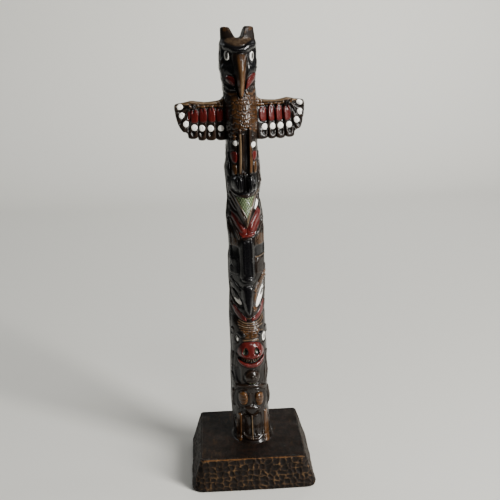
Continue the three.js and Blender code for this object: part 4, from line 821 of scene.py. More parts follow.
def carve_wing(w, seed):
    c = Canvas(5.5, 43.5, 230.5, 264.5)
    c.D += 1.15
    x, z = c.U, c.Z
    c.D -= 0.06 * (z - 246.0)
    # long feathers, each slightly domed, fanned by their cuts
    for i in range(4):
        (ta, ba), (tb, bb) = w["cut"][i], w["cut"][i + 1]
        end = w["end"][i]
        f = area([(ta, 256.5), (tb, 256.5), (bb - 0.02, end + 2.2), (bb - 0.5, end + 0.6), ((ba + bb) / 2 + 0.9, end - 0.6), ((ba + bb) / 2 - 0.9, end - 0.6), (ba + 0.5, end + 0.6), (ba + 0.02, end + 2.2)], 1)
        c.form(f, 0.8, 1.4, 0.5)
        tilt(c, f, (ba + bb) / 2, 0.18)
        if i == 0:
            continue
        c.paint(bar([(ta, 247.5), (ba, end + 1.2)], 0.30), "ink")
    c.paint(bar([(w["cut"][4][0], 247.5), (w["cut"][4][1], w["end"][3] + 1.8)], 0.34), "ink")
    # three feathers fanned from the wrist to the tip, and the slivers between
    wx = w["boss"][0]
    t3 = w["tip"]
    tips = [((wx + 1.8, 255.6), (37.9, 241.2), 2.0, 2.4), ((wx + 2.8, 256.6), (39.7, 248.6), 1.5, 2.7), ((wx + 3.6, 257.6), (40.6, 255.6), 1.2, 2.0)]
    for k, (a, b, wa, wb) in enumerate(tips):
        c.form(bar([a, b], [wa, wb]), 0.9, 1.6, 0.5)
        tilt(c, bar([a, b], [wa * 0.9, wb * 0.9]), (a[0] + b[0]) / 2, 0.05)
    for line in ([(wx + 1.4, 257.6), (36.2, 250.2), (38.6, 246.4), (41.2, 245.9)], [(wx + 2.8, 257.8), (37.4, 253.5), (42.3, 253.2)], [(wx + 1.6, 254.6), (w["cut"][4][1] - 0.4, 241.4)]):
        c.groove(bar(line, 0.1), 0.6, 0.38)
        c.paint(bar(line, 0.34), "ink")
    for off in (0.9, 1.8):
        c.groove(bar([(wx + 1.2 + off, 254.6), (wx + 3.0 + off * 1.3, 248.8)], 0.08), 0.35, 0.3)
        c.paint(bar([(wx + 1.2 + off, 254.6), (wx + 2.8 + off * 1.3, 249.4)], 0.14), "ink")
    # short feathers: red, with a small dark V at the root
    for cx, half, top in w["short"]:
        e = w["short_end"]
        half += 0.22
        f = area([(cx - half, top + 0.6), (cx + half, top + 0.6), (cx + half, e + 2.2), (cx + half * 0.7, e + 0.3), (cx, e - 0.5), (cx - half * 0.7, e + 0.3), (cx - half, e + 2.2)], 1)
        c.form(f, 0.75, 1.0, 0.26, "red")
        tilt(c, f, cx, 0.24)
        c.outline(f, 0.15)
        v = area([(cx - 0.75, top + 0.2), (cx + 0.65, top + 0.2), (cx - 0.1, top - 2.6)], 0)
        c.step_up(v, -0.6, 0.5)
        c.paint(v, "ink")
    dots(c, w["dots"], 1.95)
    for nx, nz in w["notch"]:
        n = area([(nx - 1.35, nz + 1.5), (nx + 1.35, nz + 1.5), (nx + 0.95, nz - 0.7), (nx, nz - 1.9), (nx - 0.95, nz - 0.7)], 1)
        c.step_up(n, -0.8, 0.6)
        c.paint(n, "ink")
    for nx, nz, a in ((38.4, 242.0, 30), (41.0, 249.6, 10)):
        n = oval(nx, nz, 0.9, 1.3, a)
        c.step_up(n, -0.6, 0.6)
        c.paint(n, "ink")
    # the arm along the top: a rounded band with a step, scaled near the shoulder
    top = np.array(w["top"])
    arm = area([(6, 254.6), (16.5, 255.3), (27.5, 255.2), (29.0, 254.4), (32.4, 254.6), (33.6, 256.6), (36.5, 257.6), (41.0, 257.7)] + [tuple(p) for p in (top + [0, 0.6])[::-1]], 0)
    c.form(arm, 1.7, 1.6, 0.4, "gold")
    c.paint(Shape(arm.box, lambda u, z: np.minimum(arm.sd(u, z) * 0 + 0.9, z - np.interp(u, *top.T) + 1.5 + 0.4 * wander(u, z, 3.0, seed + 9))), "tan")
    step = bar([(14.5, 256.9), (20, 256.8), (23.6, 257.2), (28.0, 256.9)], 0.12)
    c.groove(step, 0.5, 0.34)
    c.paint(bar([(14.5, 256.9), (20, 256.8), (23.6, 257.2), (28.0, 256.9)], 0.22), "ink")
    c.strokes(area([(18, 255.5), (28, 255.5), (28, 259.6), (18, 259.0)], 0), 1.5, 8, 0.16, seed)
    f1, f2, own = cells(x, z, 2.1, seed + 5)
    scaly = ease(19.0, 13.5, x) * ease(252.5, 254.5, z)
    c.D -= 0.45 * np.exp(-((f2 - f1) / 0.22) ** 2) * scaly
    c.paint(area([(6, 253.5), (14.5, 255.0), (17, 258.6), (12, 260.6), (9, 263), (6, 263)], 1), "gold")
    bx, bz, br = w["boss"]
    boss = oval(bx, bz, br, br * 1.02)
    c.form(boss, 1.2, 1.4, 0.5, "black")
    c.scrape(boss, "tan")
    c.form(oval(bx - 2.5, bz + 0.8, 0.75, 0.8), 0.6, 0.7, 0.3, "tan")
    c.form(bar([(bx + 2.6, 257.4), (bx + 4.6, 256.4)], 0.5), 0.4, 0.5, 0.3)
    c.D += 0.07 * wander(x, z, 4.0, seed + 1) + 0.04 * wander(x, z, 1.8, seed + 2)
    c.D = blur(c.D, 1)
    return c


# ------------------------------------------------------------------ meshes, in mm, as arrays
def closed_tube(rings, cap_low=True, cap_high=True):
    """rings: (rows, columns, 3), from the bottom up, anticlockwise from above."""
    n, m = rings.shape[:2]
    v = rings.reshape(-1, 3)
    i, j = np.meshgrid(np.arange(n - 1), np.arange(m), indexing="ij")
    k = (j + 1) % m
    a, b, c, d = i * m + j, i * m + k, (i + 1) * m + k, (i + 1) * m + j
    f = [tuple(q) for q in np.stack([a, b, c, d], -1).reshape(-1, 4).tolist()]
    v = v.tolist()
    if cap_low:
        v.append(rings[0].mean(0).tolist())
        f += [(len(v) - 1, (q + 1) % m, q) for q in range(m)]
    if cap_high:
        v.append(rings[-1].mean(0).tolist())
        o = (n - 1) * m
        f += [(len(v) - 1, o + q, o + (q + 1) % m) for q in range(m)]
    return np.array(v), f


def horn_top(x):
    """Height of the crown along x: two horns with a U between them."""
    gap = np.interp(x, [-12.5, -10.2, -7.4, -6.4, -5.6, -4.6, -3.6, -2.7, -1.8, 0.2, 1.6, 2.3, 2.9, 3.7, 4.6, 5.6, 9.6, 12.5],
                    [304.4, 304.9, 305, 304.5, 303.3, 301.2, 299.4, 298.5, 298.1, 297.9, 298.1, 298.6, 299.7, 302.2, 304.1, 304.9, 304.9, 304.2])
    return gap


def pole_mesh(front, flank):
    columns = 190
    even = np.linspace(-np.pi, np.pi, columns, endpoint=False)
    turn = even - 0.45 * np.sin(even)              # crowded towards the front, 0
    s, c = np.sin(turn), np.cos(turn)
    rows = np.arange(20.6, CROWN, ROW)

    def ring(z, relief=True):
        z = np.broadcast_to(np.asarray(z, float), s.shape)
        half, mid, fore, back = station(z)
        x = np.where(c > 0, mid + half * s, mid + half * np.sign(s) * np.abs(s) ** 0.7)
        d = front.sample(front.D, x, z) * ease(0.0, 0.35, c)
        tool, _ = gouges(12 * turn, z)
        tool = tool * ease(0.0, -0.55, c)
        along = 12 * (np.abs(turn) - np.pi / 2)
        calm = 1 - (0.62 + 0.2 * ease(262, 270, z)) * np.exp(-((along - 0.4) / 3.4) ** 2)
        tool = tool + flank.sample(flank.D, along, z) * calm * ease(0.66, 0.30, c) * ease(-0.85, -0.55, c) * ease(294, 288, z) * ease(24, 32, z)
        side = 1.0
        n = np.hypot(s / half, c / np.where(c > 0, fore, back)) + 1e-9
        y = np.where(c > 0, -fore * c - d, back * np.abs(c) ** 0.7)
        x = x + (s / half) / n * tool * side
        y = y - (c / back) / n * tool * side
        return np.stack([x, y, z], -1)

    rings = [ring(z) for z in rows]
    # above the brow every column climbs to the crown's own height at its place
    edge = ring(np.full(columns, CROWN))
    half, mid, fore, back = station(np.full(columns, 303.0))
    reach = horn_top(mid + half * s)
    r = 1.1
    for t in np.linspace(0, 1, 26)[:]:
        z = CROWN + (reach - r - CROWN) * t
        p = ring(z)
        rings.append(p)
    last = rings[-1]
    centre = np.array([0.0, 1.4])
    depth = np.hypot(*(last[:, :2] - centre).T)
    for a in np.linspace(0, np.pi / 2, 5)[1:]:
        k = 1 - r * (1 - np.cos(a)) / depth
        x, y = centre[0] + (last[:, 0] - centre[0]) * k, centre[1] + (last[:, 1] - centre[1]) * k
        rings.append(np.stack([x, y, last[:, 2] + r * np.sin(a)], -1))
    rim = rings[-1]
    for k in np.linspace(1, 0.02, 34)[1:]:
        x, y = centre[0] + (rim[:, 0] - centre[0]) * k, centre[1] + (rim[:, 1] - centre[1]) * k
        z = horn_top(x) - 0.10 * wander(x, y, 2.6, 17) ** 2
        z = z * ease(1.0, 0.93, np.full(x.shape, k)) + rim[:, 2] * (1 - ease(1.0, 0.93, np.full(x.shape, k)))
        rings.append(np.stack([x, y, np.minimum(z, HEIGHT - 0.02)], -1))
    return closed_tube(np.array(rings))


def wing_mesh(w, canvas, side):
    fine = np.linspace(6.5, w["tip"][-1][0], 4000)
    low = wing_bottom(w, fine)
    run = np.concatenate([[0], np.cumsum(np.hypot(np.diff(fine), np.clip(np.diff(low), -0.05, 0.05)))])
    x = np.interp(np.linspace(0, run[-1], 118), run, fine)
    zb, zt = wing_bottom(w, x), np.interp(x, *np.array(w["top"]).T)
    zt = np.maximum(zt, zb + 0.6)
    rows = 62
    t = np.linspace(0, 1, rows)
    t = t + 0.0 * t
    X = np.repeat(x[None], rows, 0)
    Z = zb[None] + (zt - zb)[None] * t[:, None]
    edge = np.minimum(np.minimum(Z - zb, zt - Z), (w["tip"][-1][0] - X) * 1.6 + 0.1)
    r = 1.15
    fall = r - np.sqrt(np.clip(r * r - (r - np.clip(edge, 0, r)) ** 2, 0, None))
    front = canvas.sample(canvas.D, X, Z) - fall * 0.9
    back = WING_BACK - fall * 0.7 - 0.18 * np.exp(-(((X - 17.7) % 5.4 - 2.7) / 0.4) ** 2) * ease(256, 254, Z) + 0.06 * wander(X, Z, 3.0, 23)
    F = np.stack([X * side, -front, Z], -1)
    B = np.stack([X * side, back, Z], -1)
    n, m = X.shape
    v = np.concatenate([F.reshape(-1, 3), B.reshape(-1, 3)])
    faces = []
    i, j = np.meshgrid(np.arange(n - 1), np.arange(m - 1), indexing="ij")
    a, b, c, d = i * m + j, i * m + j + 1, (i + 1) * m + j + 1, (i + 1) * m + j
    q = np.stack([a, b, c, d], -1).reshape(-1, 4)
    faces += q.tolist()
    faces += (q[:, ::-1] + n * m).tolist()
    o = n * m
    rim = [(0, j) for j in range(m)] + [(i, m - 1) for i in range(1, n)] + [(n - 1, j) for j in range(m - 2, -1, -1)] + [(i, 0) for i in range(n - 2, 0, -1)]
    ids = [i * m + j for i, j in rim]
    for p, q2 in zip(ids, ids[1:] + ids[:1]):
        faces.append([q2, p, p + o, q2 + o])
    if side < 0:
        faces = [f[::-1] for f in faces]
    return v, [tuple(f) for f in faces]


def block_ring(z, inset, count=440):
    t = np.clip((z - ROUND_BOTTOM) / (BLOCK_HEIGHT - ROUND_BOTTOM), 0, 1)
    hx = (BLOCK_BOTTOM[0] + (BLOCK_TOP[0] - BLOCK_BOTTOM[0]) * t) / 2 - inset
    hy = (BLOCK_BOTTOM[1] + (BLOCK_TOP[1] - BLOCK_BOTTOM[1]) * t) / 2 - inset
    bow = BLOCK_BOW * (1 - t)
    pts = []
    for sx, sy, key in ((1, 1, "br"), (-1, 1, "bl"), (-1, -1, "fl"), (1, -1, "fr")):
        r0, r1 = BLOCK_CORNERS[key]
        r = r0 + (r1 - r0) * t - inset * 0.5
        reach = hy - bow if sy < 0 else hy
        a = np.radians(np.linspace(0, 90, 13))
        arc = np.stack([sx * (hx - r + r * np.cos(a)), sy * (reach - r + r * np.sin(a))], -1)
        if sx * sy < 0:
            arc = arc[::-1]
        pts.append(arc)
    p = np.concatenate(pts)
    front = (p[:, 1] < -hy + bow + 0.4) & (np.abs(p[:, 0]) < hx - 6)
    p = np.concatenate([p, p[:1]])
    l = np.concatenate([[0], np.cumsum(np.hypot(*np.diff(p, axis=0).T))])
    s = np.linspace(0, l[-1], count, endpoint=False)
    x, y = np.interp(s, l, p[:, 0]), np.interp(s, l, p[:, 1])
    # the front bottom edge stands out a little in its middle
    y = np.where(y < -hy + bow + 0.5, y - bow * np.clip(1 - (x / hx) ** 2, 0, 1), y)
    return x, y, s


def hammered(a, b, size, seed):
    """Depth of hand-hammered dimples, 0 at their ridges and down to -1 at their middles, and a mask of the ridges."""
    f1, f2, own = cells(a + 0.5 * wander(a, b, 2.3, seed + 1), b + 0.5 * wander(a, b, 2.3, seed + 2), size, seed)
    bowl = ease(0.0, 0.55, f2 - f1)
    return -bowl * (0.45 + 0.55 * own), 1 - ease(0.04, 0.30, f2 - f1)


def block_relief(x, y, z):
    """How far the block's surface is pushed in, and the ridge mask, at points of its outside."""
    top = ease(BLOCK_HEIGHT - 0.9, BLOCK_HEIGHT - 0.3, z)
    flank = np.abs(x / 43) > np.abs(y / 40)
    run = np.where(flank, y + 200 * np.sign(x), x)
    d1, r1 = hammered(run + 1.3 * wander(run, z, 7.0, 103), z * 1.12, 4.2, 101)
    d3, r3 = hammered(run, z, 1.9, 105)
    soft = np.where(flank, 0.45, 1.0)
    d2 = -0.5 - 0.5 * wander(x / 0.9, y / 4.6, 1.0, 111)
    r2 = ease(0.25, 0.75, wander(x / 0.9, y / 4.6, 1.0, 111)) * ease(-0.2, 0.6, wander(x, y, 9.0, 113))
    push = (d1 * 0.75 + d3 * 0.22) * soft * (1 - top) + d2 * top * 0.16
    ridge_ = np.clip(r1 * 1.0 + r3 * 0.30 * ease(-0.5, 0.5, wander(run, z, 6.0, 107)), 0, 1) * (1 - top) * soft + r2 * top * 0.55
    return push, ridge_


def block_mesh():
    rings = []
    levels = [(0.0, ROUND_BOTTOM), (0.25, ROUND_BOTTOM * 0.62), (0.7, ROUND_BOTTOM * 0.3), (1.4, ROUND_BOTTOM * 0.09)]
    levels += [(z, 0.0) for z in np.linspace(ROUND_BOTTOM, BLOCK_HEIGHT - ROUND_TOP, 33)]
    levels += [(BLOCK_HEIGHT - 1.0, 0.18), (BLOCK_HEIGHT - 0.45, ROUND_TOP * 0.38), (BLOCK_HEIGHT - 0.1, ROUND_TOP * 0.75)]
    for z, inset in levels:
        x, y, s = block_ring(z, inset)
        push, _ = block_relief(x, y, np.full(x.shape, z))
        n = np.hypot(x, y)
        fade = ease(0.2, 1.6, np.full(x.shape, float(z)))
        side = np.abs(x) / 43 > np.abs(y) / 40
        wave = (0.35 * wander(s, np.full(x.shape, z), 9.0, 121) - 0.35) * fade
        total = push * fade + wave
        x = x + np.where(side, np.sign(x), np.sign(x) * 0.25) * total
        y = y + np.where(side, np.sign(y) * 0.25, np.sign(y)) * total
        rings.append(np.stack([x, y, np.full(x.shape, z)], -1))
    x0, y0, s = block_ring(BLOCK_HEIGHT, ROUND_TOP)
    for k in np.concatenate([np.linspace(1.0, 0.20, 42), [0.1]]):
        x, y = x0 * k, y0 * k
        push, _ = block_relief(x, y, np.full(x.shape, BLOCK_HEIGHT))
        rings.append(np.stack([x, y, BLOCK_HEIGHT + push + 0.16 * wander(x, y, 8.0, 131) - 0.16], -1))
    return closed_tube(np.array(rings))


def make(name, v, f):
    m = bpy.data.meshes.new(name)
    m.from_pydata([tuple(p) for p in v], [], f)
    m.validate()
    o = bpy.data.objects.new(name, m)
    bpy.context.scene.collection.objects.link(o)
    return o


def join(a, b, how):
    mod = a.modifiers.new("join", "BOOLEAN")
    mod.operation = how
    mod.solver = "MANIFOLD"
    mod.object = b
    m = bpy.data.meshes.new_from_object(a.evaluated_get(bpy.context.evaluated_depsgraph_get()))
    a.modifiers.clear()
    a.data = m
    bpy.data.objects.remove(b)
    return a


front = carve_front()
wing_canvas = {1: carve_wing(RIGHT, 201), -1: carve_wing(LEFT, 211)}

flank = carve_side()
v, f = pole_mesh(front, flank)
casting = make("totem", v, f)
for side, w in ((1, RIGHT), (-1, LEFT)):
    v, f = wing_mesh(w, wing_canvas[side], side)
    join(casting, make("wing", v, f), "UNION")
turn = Matrix.Rotation(TWIST, 4, "Z")
casting.data.transform(turn)
v, f = block_mesh()
join(casting, make("block", v, f), "UNION")

tri = sum(len(p.vertices) - 2 for p in casting.data.polygons)
mod = casting.modifiers.new("fit", "DECIMATE")
mod.ratio = min(1.0, TRIANGLES / tri)
mod.use_collapse_triangulate = True
m = bpy.data.meshes.new_from_object(casting.evaluated_get(bpy.context.evaluated_depsgraph_get()))
casting.modifiers.clear()
casting.data = m
print("triangles", tri, "->", len(m.polygons))

# ------------------------------------------------------------------ paint and wear, read back at every corner
n = len(m.vertices)
co = np.empty(n * 3)
m.vertices.foreach_get("co", co)
co = co.reshape(-1, 3)
# stay inside the solid's own box
lo, hi = np.array(cad_low) * 1000, np.array(cad_high) * 1000
co = np.clip(co, lo, hi)
c_, s_ = math.cos(TWIST), math.sin(TWIST)
px, py, pz = co[:, 0] * c_ + co[:, 1] * s_, -co[:, 0] * s_ + co[:, 1] * c_, co[:, 2]
half, mid, fore, back = station(pz)
is_block = (pz < BLOCK_HEIGHT + 0.35) & (((px - mid) / (half + 0.6)) ** 2 + (py / (fore + 0.8)) ** 2 > 1)
wide = np.abs(px) - 10.6
is_wing = (~is_block) & (wide > 0) & (pz > 230) & (pz < 263.5) & (py > -5.5)
on_front = py < -0.4
sx = np.sign(px - mid) * np.clip(np.abs(px - mid) / half, 0, 1) ** np.where(py < 0, 1.0, 1 / 0.7)
cy = np.where(py < 0, np.clip(-py / fore, 0, 1), -np.clip(py / back, 0, 1) ** (1 / 0.7))
turned = np.arctan2(sx, cy)
along = 12 * (np.abs(turned) - np.pi / 2)
on_side = ~is_block & ~is_wing & (cy < 0.40)

value = {k: np.full(n, -4.0) for k in PAINTS}
cavity, ridge = np.zeros(n), np.zeros(n)


def relief_tone(canvas):
    broad, near = blur(canvas.D, 9), blur(canvas.D, 4)
    return canvas.D - broad, canvas.D - near


for canvas, sel, u in ((front, ~is_block & ~is_wing & ~on_side, px),
                       (flank, on_side & (cy > -0.75) & (pz < 294), along),
                       (wing_canvas[1], is_wing & (px > 0) & on_front, px),
                       (wing_canvas[-1], is_wing & (px < 0) & on_front, -px)):
    a, b = relief_tone(canvas)
    i = np.where(sel)[0]
    for k in PAINTS:
        value[k][i] = canvas.sample(canvas.P[k], u[i], pz[i])
    ta, tb = canvas.sample(a, u[i], pz[i]), canvas.sample(b, u[i], pz[i])
    cavity[i] = np.clip(-ta / 1.1, 0, 1)
    ridge[i] = np.clip(ta / 0.9, 0, 1) * 0.6 + np.clip(tb / 0.25, 0, 1) * 0.4

_, marks = gouges(12 * turned, pz)
ridge = np.where(~is_block & ~is_wing & (cy < -0.3), np.maximum(ridge, marks * 0.7), ridge)

i = np.where(is_block)[0]
push, rmask = block_relief(co[i, 0], co[i, 1], co[i, 2])
ridge[i] = rmask
cavity[i] = np.clip(-push / 0.4, 0, 1)
# the front top edge is painted gold: partly wear, partly a painted highlight along the edge that faces the light
front_edge = (co[i, 1] < -BLOCK_TOP[1] / 2 + 1.4) & (co[i, 2] > BLOCK_HEIGHT - 1.3)
worn_edge_and_highlight = 0.95 - np.hypot(co[i, 1] + BLOCK_TOP[1] / 2 - 0.1, co[i, 2] - BLOCK_HEIGHT + 0.3) + 0.35 * wander(co[i, 0], co[i, 1] * 0, 4.0, 141)
value["gold"][i] = np.where(front_edge, worn_edge_and_highlight, -4)
ridge[i] = np.where(front_edge & (worn_edge_and_highlight > 0), 1.0, ridge[i])

m.vertices.foreach_set("co", (co / 1000).ravel())
for name, data in list(value.items()) + [("cavity", cavity), ("ridge", ridge), ("block", is_block.astype(float)), ("wingpart", is_wing.astype(float))]:
    a = m.attributes.new(name, "FLOAT", "POINT")
    a.data.foreach_set("value", np.clip(data, -4, 4).astype(np.float32))
m.polygons.foreach_set("use_smooth", np.ones(len(m.polygons), bool))
m.update()
casting.name = "totem_pole_casting"

# ------------------------------------------------------------------ the finish
mat = bpy.data.materials.new("painted_resin")
mat.use_nodes = True
nt = mat.node_tree
nt.nodes.clear()


def node(kind, **props):
    q = nt.nodes.new(kind)
    for k, val in props.items():
        setattr(q, k, val)
    return q


def link(a, b):
    nt.links.new(a, b)


def attribute(name):
    return node("ShaderNodeAttribute", attribute_name=name, attribute_type="GEOMETRY").outputs["Fac"]


def math_(op, a, b=None, clamp=False):
    q = node("ShaderNodeMath", operation=op, use_clamp=clamp)
    for k, val in enumerate((a, b)):
        if val is None:
            continue
        if isinstance(val, (int, float)):
            q.inputs[k].default_value = val
        else:
            link(val, q.inputs[k])
    return q.outputs[0]


def ramp(x, lo_, hi_, a=0.0, b=1.0, smooth=True):
    q = node("ShaderNodeMapRange", interpolation_type="SMOOTHSTEP" if smooth else "LINEAR")
    link(x, q.inputs["Value"])
    q.inputs["From Min"].default_value, q.inputs["From Max"].default_value = lo_, hi_
    q.inputs["To Min"].default_value, q.inputs["To Max"].default_value = a, b
    return q.outputs["Result"]


def srgb(r, g, b):
    f = lambda x: (x / 255 / 12.92) if x / 255 <= 0.04045 else ((x / 255 + 0.055) / 1.055) ** 2.4
    return (f(r), f(g), f(b), 1.0)


def mix(fac, a, b, blend="MIX"):
    q = node("ShaderNodeMix", data_type="RGBA", blend_type=blend)
    if isinstance(fac, (int, float)):
        q.inputs[0].default_value = fac
    else:
        link(fac, q.inputs[0])
    for sock, val in ((q.inputs[6], a), (q.inputs[7], b)):
        if isinstance(val, tuple):
            sock.default_value = val
        else:
            link(val, sock)
    return q.outputs[2]


coords = node("ShaderNodeTexCoord").outputs["Object"]


def noise(scale, detail=2.0, rough=0.5, stretch=None):
    q = node("ShaderNodeTexNoise")
    q.inputs["Scale"].default_value = scale
    q.inputs["Detail"].default_value = detail
    q.inputs["Roughness"].default_value = rough
    src = coords
    if stretch:
        mp = node("ShaderNodeMapping")
        mp.inputs["Scale"].default_value = stretch
        link(coords, mp.inputs["Vector"])
        src = mp.outputs[0]
    link(src, q.inputs["Vector"])
    return q.outputs["Fac"]


broad = noise(60, 3)              # patches some 15 mm across
streak = noise(420, 3, 0.6, (1, 1, 0.22))   # brush streaks running up the pole
fine = noise(1500, 3, 0.6)        # speckle under a millimetre
wobble = math_("MULTIPLY", math_("SUBTRACT", noise(900, 2), 0.5), 0.55)   # hand-painted edges, mm
cav, rdg = attribute("cavity"), attribute("ridge")
blk = attribute("block")

# stain: near black in the cuts, brown where it was wiped off the high places
wipe = math_("ADD", math_("MULTIPLY", rdg, 0.85), math_("MULTIPLY", math_("SUBTRACT", streak, 0.52), 0.9), clamp=True)
colour = mix(wipe, srgb(13, 8, 5), srgb(54, 37, 25))
colour = mix(ramp(broad, 0.35, 0.7, 0.0, 0.7), colour, srgb(24, 16, 11))
chip = ramp(noise(260, 2, 0.5), 0.42, 0.62)
rubbed = ramp(noise(190, 3, 0.6), 0.42, 0.70, 0.10, 0.85)
block_colour = mix(math_("MULTIPLY", rdg, rubbed), mix(chip, srgb(12, 7, 4), srgb(27, 16, 10)), srgb(96, 72, 46))
colour = mix(blk, colour, block_colour)


def layer(under, name, over, edge=0.10, cover=1.0):
    sd = math_("ADD", attribute(name), wobble)
    return mix(math_("MULTIPLY", ramp(sd, -edge, edge), cover), under, over)


high = math_("ADD", math_("MULTIPLY", rdg, 0.85), math_("SUBTRACT", streak, 0.38), clamp=True)
gold = mix(high, srgb(30, 17, 7), srgb(98, 64, 31))
tan = mix(high, srgb(42, 30, 20), srgb(112, 92, 68))
black = mix(ramp(fine, 0.4, 0.75), srgb(5, 5, 7), srgb(13, 12, 12))
red = mix(math_("MULTIPLY", ramp(streak, 0.35, 0.75), math_("ADD", math_("MULTIPLY", rdg, 0.7), 0.3)), srgb(66, 15, 13), srgb(106, 34, 28))
green = mix(ramp(fine, 0.35, 0.7), srgb(78, 92, 64), srgb(122, 134, 100))
# the green patch is cross-hatched with the dark stain
cs, sn = math.cos(TWIST), math.sin(TWIST)
xyz = node("ShaderNodeSeparateXYZ")
link(coords, xyz.inputs[0])
across = math_("ADD", math_("MULTIPLY", xyz.outputs[0], cs), math_("MULTIPLY", xyz.outputs[1], sn))
weave = None
for slope in (1, -1):
    t = math_("ADD", math_("MULTIPLY", across, 600.0), math_("MULTIPLY", xyz.outputs[2], slope * 360.0))
    t = math_("ADD", t, math_("MULTIPLY", wobble, 0.35))
    saw = math_("ABSOLUTE", math_("SUBTRACT", math_("FRACT", t), 0.5))
    weave = saw if weave is None else math_("MINIMUM", weave, saw)
green = mix(ramp(weave, 0.06, 0.18, 0.9, 0.0), green, srgb(26, 28, 19))
white = mix(ramp(streak, 0.35, 0.8), srgb(238, 234, 224), srgb(250, 248, 243))
grime = math_("MULTIPLY", ramp(noise(700, 3, 0.7), 0.56, 0.70), 0.35)
white = mix(grime, white, srgb(150, 138, 118))
colour = layer(colour, "gold", gold, 0.30, 0.85)
colour = layer(colour, "tan", tan, 0.25, 0.85)
colour = layer(colour, "black", black, 0.15, 0.97)
colour = layer(colour, "red", red, 0.12, 0.96)
colour = layer(colour, "green", green, 0.14, 0.96)
colour = layer(colour, "white", white)
colour = layer(colour, "ink", srgb(9, 7, 6), 0.12, 0.94)
# the dark wash that stays in every cut
colour = mix(math_("MULTIPLY", ramp(cav, 0.10, 0.70), 0.72), colour, srgb(10, 7, 5))

shader = node("ShaderNodeBsdfPrincipled")
link(colour, shader.inputs["Base Color"])
bare = ramp(xyz.outputs[2], 0.2925, 0.2965)     # the crown and horns are rubbed dull
rough = math_("ADD", ramp(fine, 0.3, 0.7, 0.24, 0.40), math_("ADD", math_("MULTIPLY", cav, 0.2), math_("ADD", math_("MULTIPLY", blk, 0.22), math_("MULTIPLY", bare, 0.25))))
link(rough, shader.inputs["Roughness"])
shader.inputs["IOR"].default_value = 1.33
shader.inputs["Specular IOR Level"].default_value = 0.26
coat = math_("SUBTRACT", 0.54, math_("ADD", math_("MULTIPLY", math_("MAXIMUM", blk, bare), 0.46), math_("MULTIPLY", cav, 0.15)))
link(coat, shader.inputs["Coat Weight"])
shader.inputs["Coat Roughness"].default_value = 0.10
shader.inputs["Coat IOR"].default_value = 1.45

height = math_("ADD", math_("MULTIPLY", streak, 0.5), math_("MULTIPLY", fine, 0.5))
bump = node("ShaderNodeBump")
bump.inputs["Strength"].default_value = 0.35
bump.inputs["Distance"].default_value = 0.00025
link(height, bump.inputs["Height"])
link(bump.outputs[0], shader.inputs["Normal"])
out = node("ShaderNodeOutputMaterial")
link(shader.outputs[0], out.inputs[0])
casting.data.materials.clear()
casting.data.materials.append(mat)

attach(casting, "root")
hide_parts("totem_pole")

# ------------------------------------------------------------------ studio: pale floor and wall, window light from the right
def plain(name, colour, rough_=0.7):
    q = bpy.data.materials.new(name)
    q.use_nodes = True
    b = q.node_tree.nodes["Principled BSDF"]
    b.inputs["Base Color"].default_value = colour
    b.inputs["Roughness"].default_value = rough_
    return q


def sweep(name, material):
    """A pale floor that curves up into a low wall behind."""
    bend, y1, top_ = 0.30, 1.15, 0.44
    line = [(-0.17, 0.0), (0.2, 0.0), (y1 - bend, 0.0)]
    line += [(y1 - bend + bend * math.sin(a), bend - bend * math.cos(a)) for a in np.radians(np.linspace(4, 90, 22))]
    line += [(y1, top_)]
    xs = (-1.0, 1.1)
    q = bpy.data.meshes.new(name)
    q.from_pydata([(x, float(y), float(z)) for y, z in line for x in xs], [], [(2 * k, 2 * k + 1, 2 * k + 3, 2 * k + 2) for k in range(len(line) - 1)])
    q.polygons.foreach_set("use_smooth", np.ones(len(q.polygons), bool))
    o = bpy.data.objects.new(name, q)
    bpy.context.scene.collection.objects.link(o)
    q.materials.append(material)
    o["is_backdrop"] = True
    return o


sweep("floor_sweep", plain("pale_floor", srgb(216, 215, 208)))


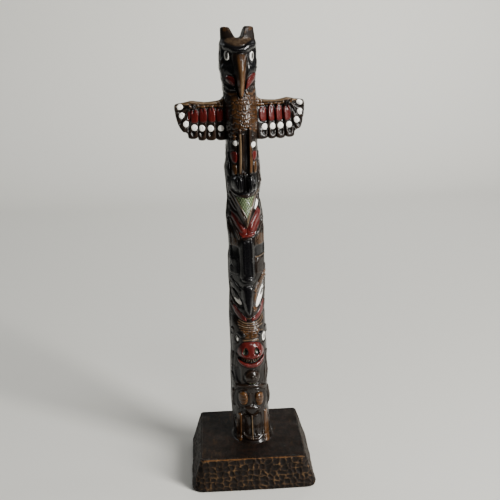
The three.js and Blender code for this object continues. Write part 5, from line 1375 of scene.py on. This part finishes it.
def lamp(name, azimuth, elevation, distance, width, height_, power, colour_=(1, 1, 1), target=(0, 0, 0.16)):
    """azimuth from the camera's side, positive to the right; elevation above level."""
    a, e = math.radians(azimuth), math.radians(elevation)
    where = Vector(target) + Vector((math.sin(a) * math.cos(e), -math.cos(a) * math.cos(e), math.sin(e))) * distance
    d = bpy.data.lights.new(name, "AREA")
    d.shape = "RECTANGLE"
    d.size, d.size_y = width, height_
    d.energy = power
    d.color = colour_
    o = bpy.data.objects.new(name, d)
    o.location = where
    o.rotation_euler = (Vector(target) - where).to_track_quat("-Z", "Y").to_euler()
    bpy.context.scene.collection.objects.link(o)
    return o


lamp("window", 47, 24, 1.35, 0.42, 1.0, 48, (1.0, 0.985, 0.96))
lamp("side_window", 98, 22, 1.3, 0.3, 0.5, 2.0, (1.0, 0.98, 0.95))
lamp("skylight", 16, 52, 1.2, 0.22, 0.22, 2.4, (1.0, 0.98, 0.95))
lamp("wall_wash", 34, 48, 0.85, 0.5, 0.4, 4, target=(0.0, 1.15, 0.2))
lamp("room_behind", -128, 28, 1.25, 0.5, 0.6, 2.5, (0.95, 0.98, 1.0))

world = bpy.data.worlds.new("room")
world.use_nodes = True
world.node_tree.nodes["Background"].inputs[0].default_value = (0.86, 0.90, 0.94, 1)
world.node_tree.nodes["Background"].inputs[1].default_value = 0.05
bpy.context.scene.world = world

# ------------------------------------------------------------------ camera, at the place it was taken from
yaw, pitch, roll = (math.radians(v) for v in (-2.46, -15.65, -1.82))
fwd = Vector((-math.sin(yaw) * math.cos(pitch), math.cos(yaw) * math.cos(pitch), math.sin(pitch)))
right = Vector((math.cos(yaw), math.sin(yaw), 0))
up = right.cross(fwd)
r2 = right * math.cos(roll) + up * math.sin(roll)
u2 = -right * math.sin(roll) + up * math.cos(roll)
cam = bpy.data.cameras.new("camera")
cam.sensor_width = 36.0
cam.lens = 36.0 * 900.0 / 500.0
cam.clip_start, cam.clip_end = 0.01, 20
cam.dof.use_dof = False
camera = bpy.data.objects.new("camera", cam)
camera.matrix_world = Matrix((
    (r2.x, u2.x, -fwd.x, -0.070 * 0.305), (r2.y, u2.y, -fwd.y, -1.911 * 0.305), (r2.z, u2.z, -fwd.z, 1.056 * 0.305), (0, 0, 0, 1)))
bpy.context.scene.collection.objects.link(camera)
bpy.context.scene.camera = camera

a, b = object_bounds()
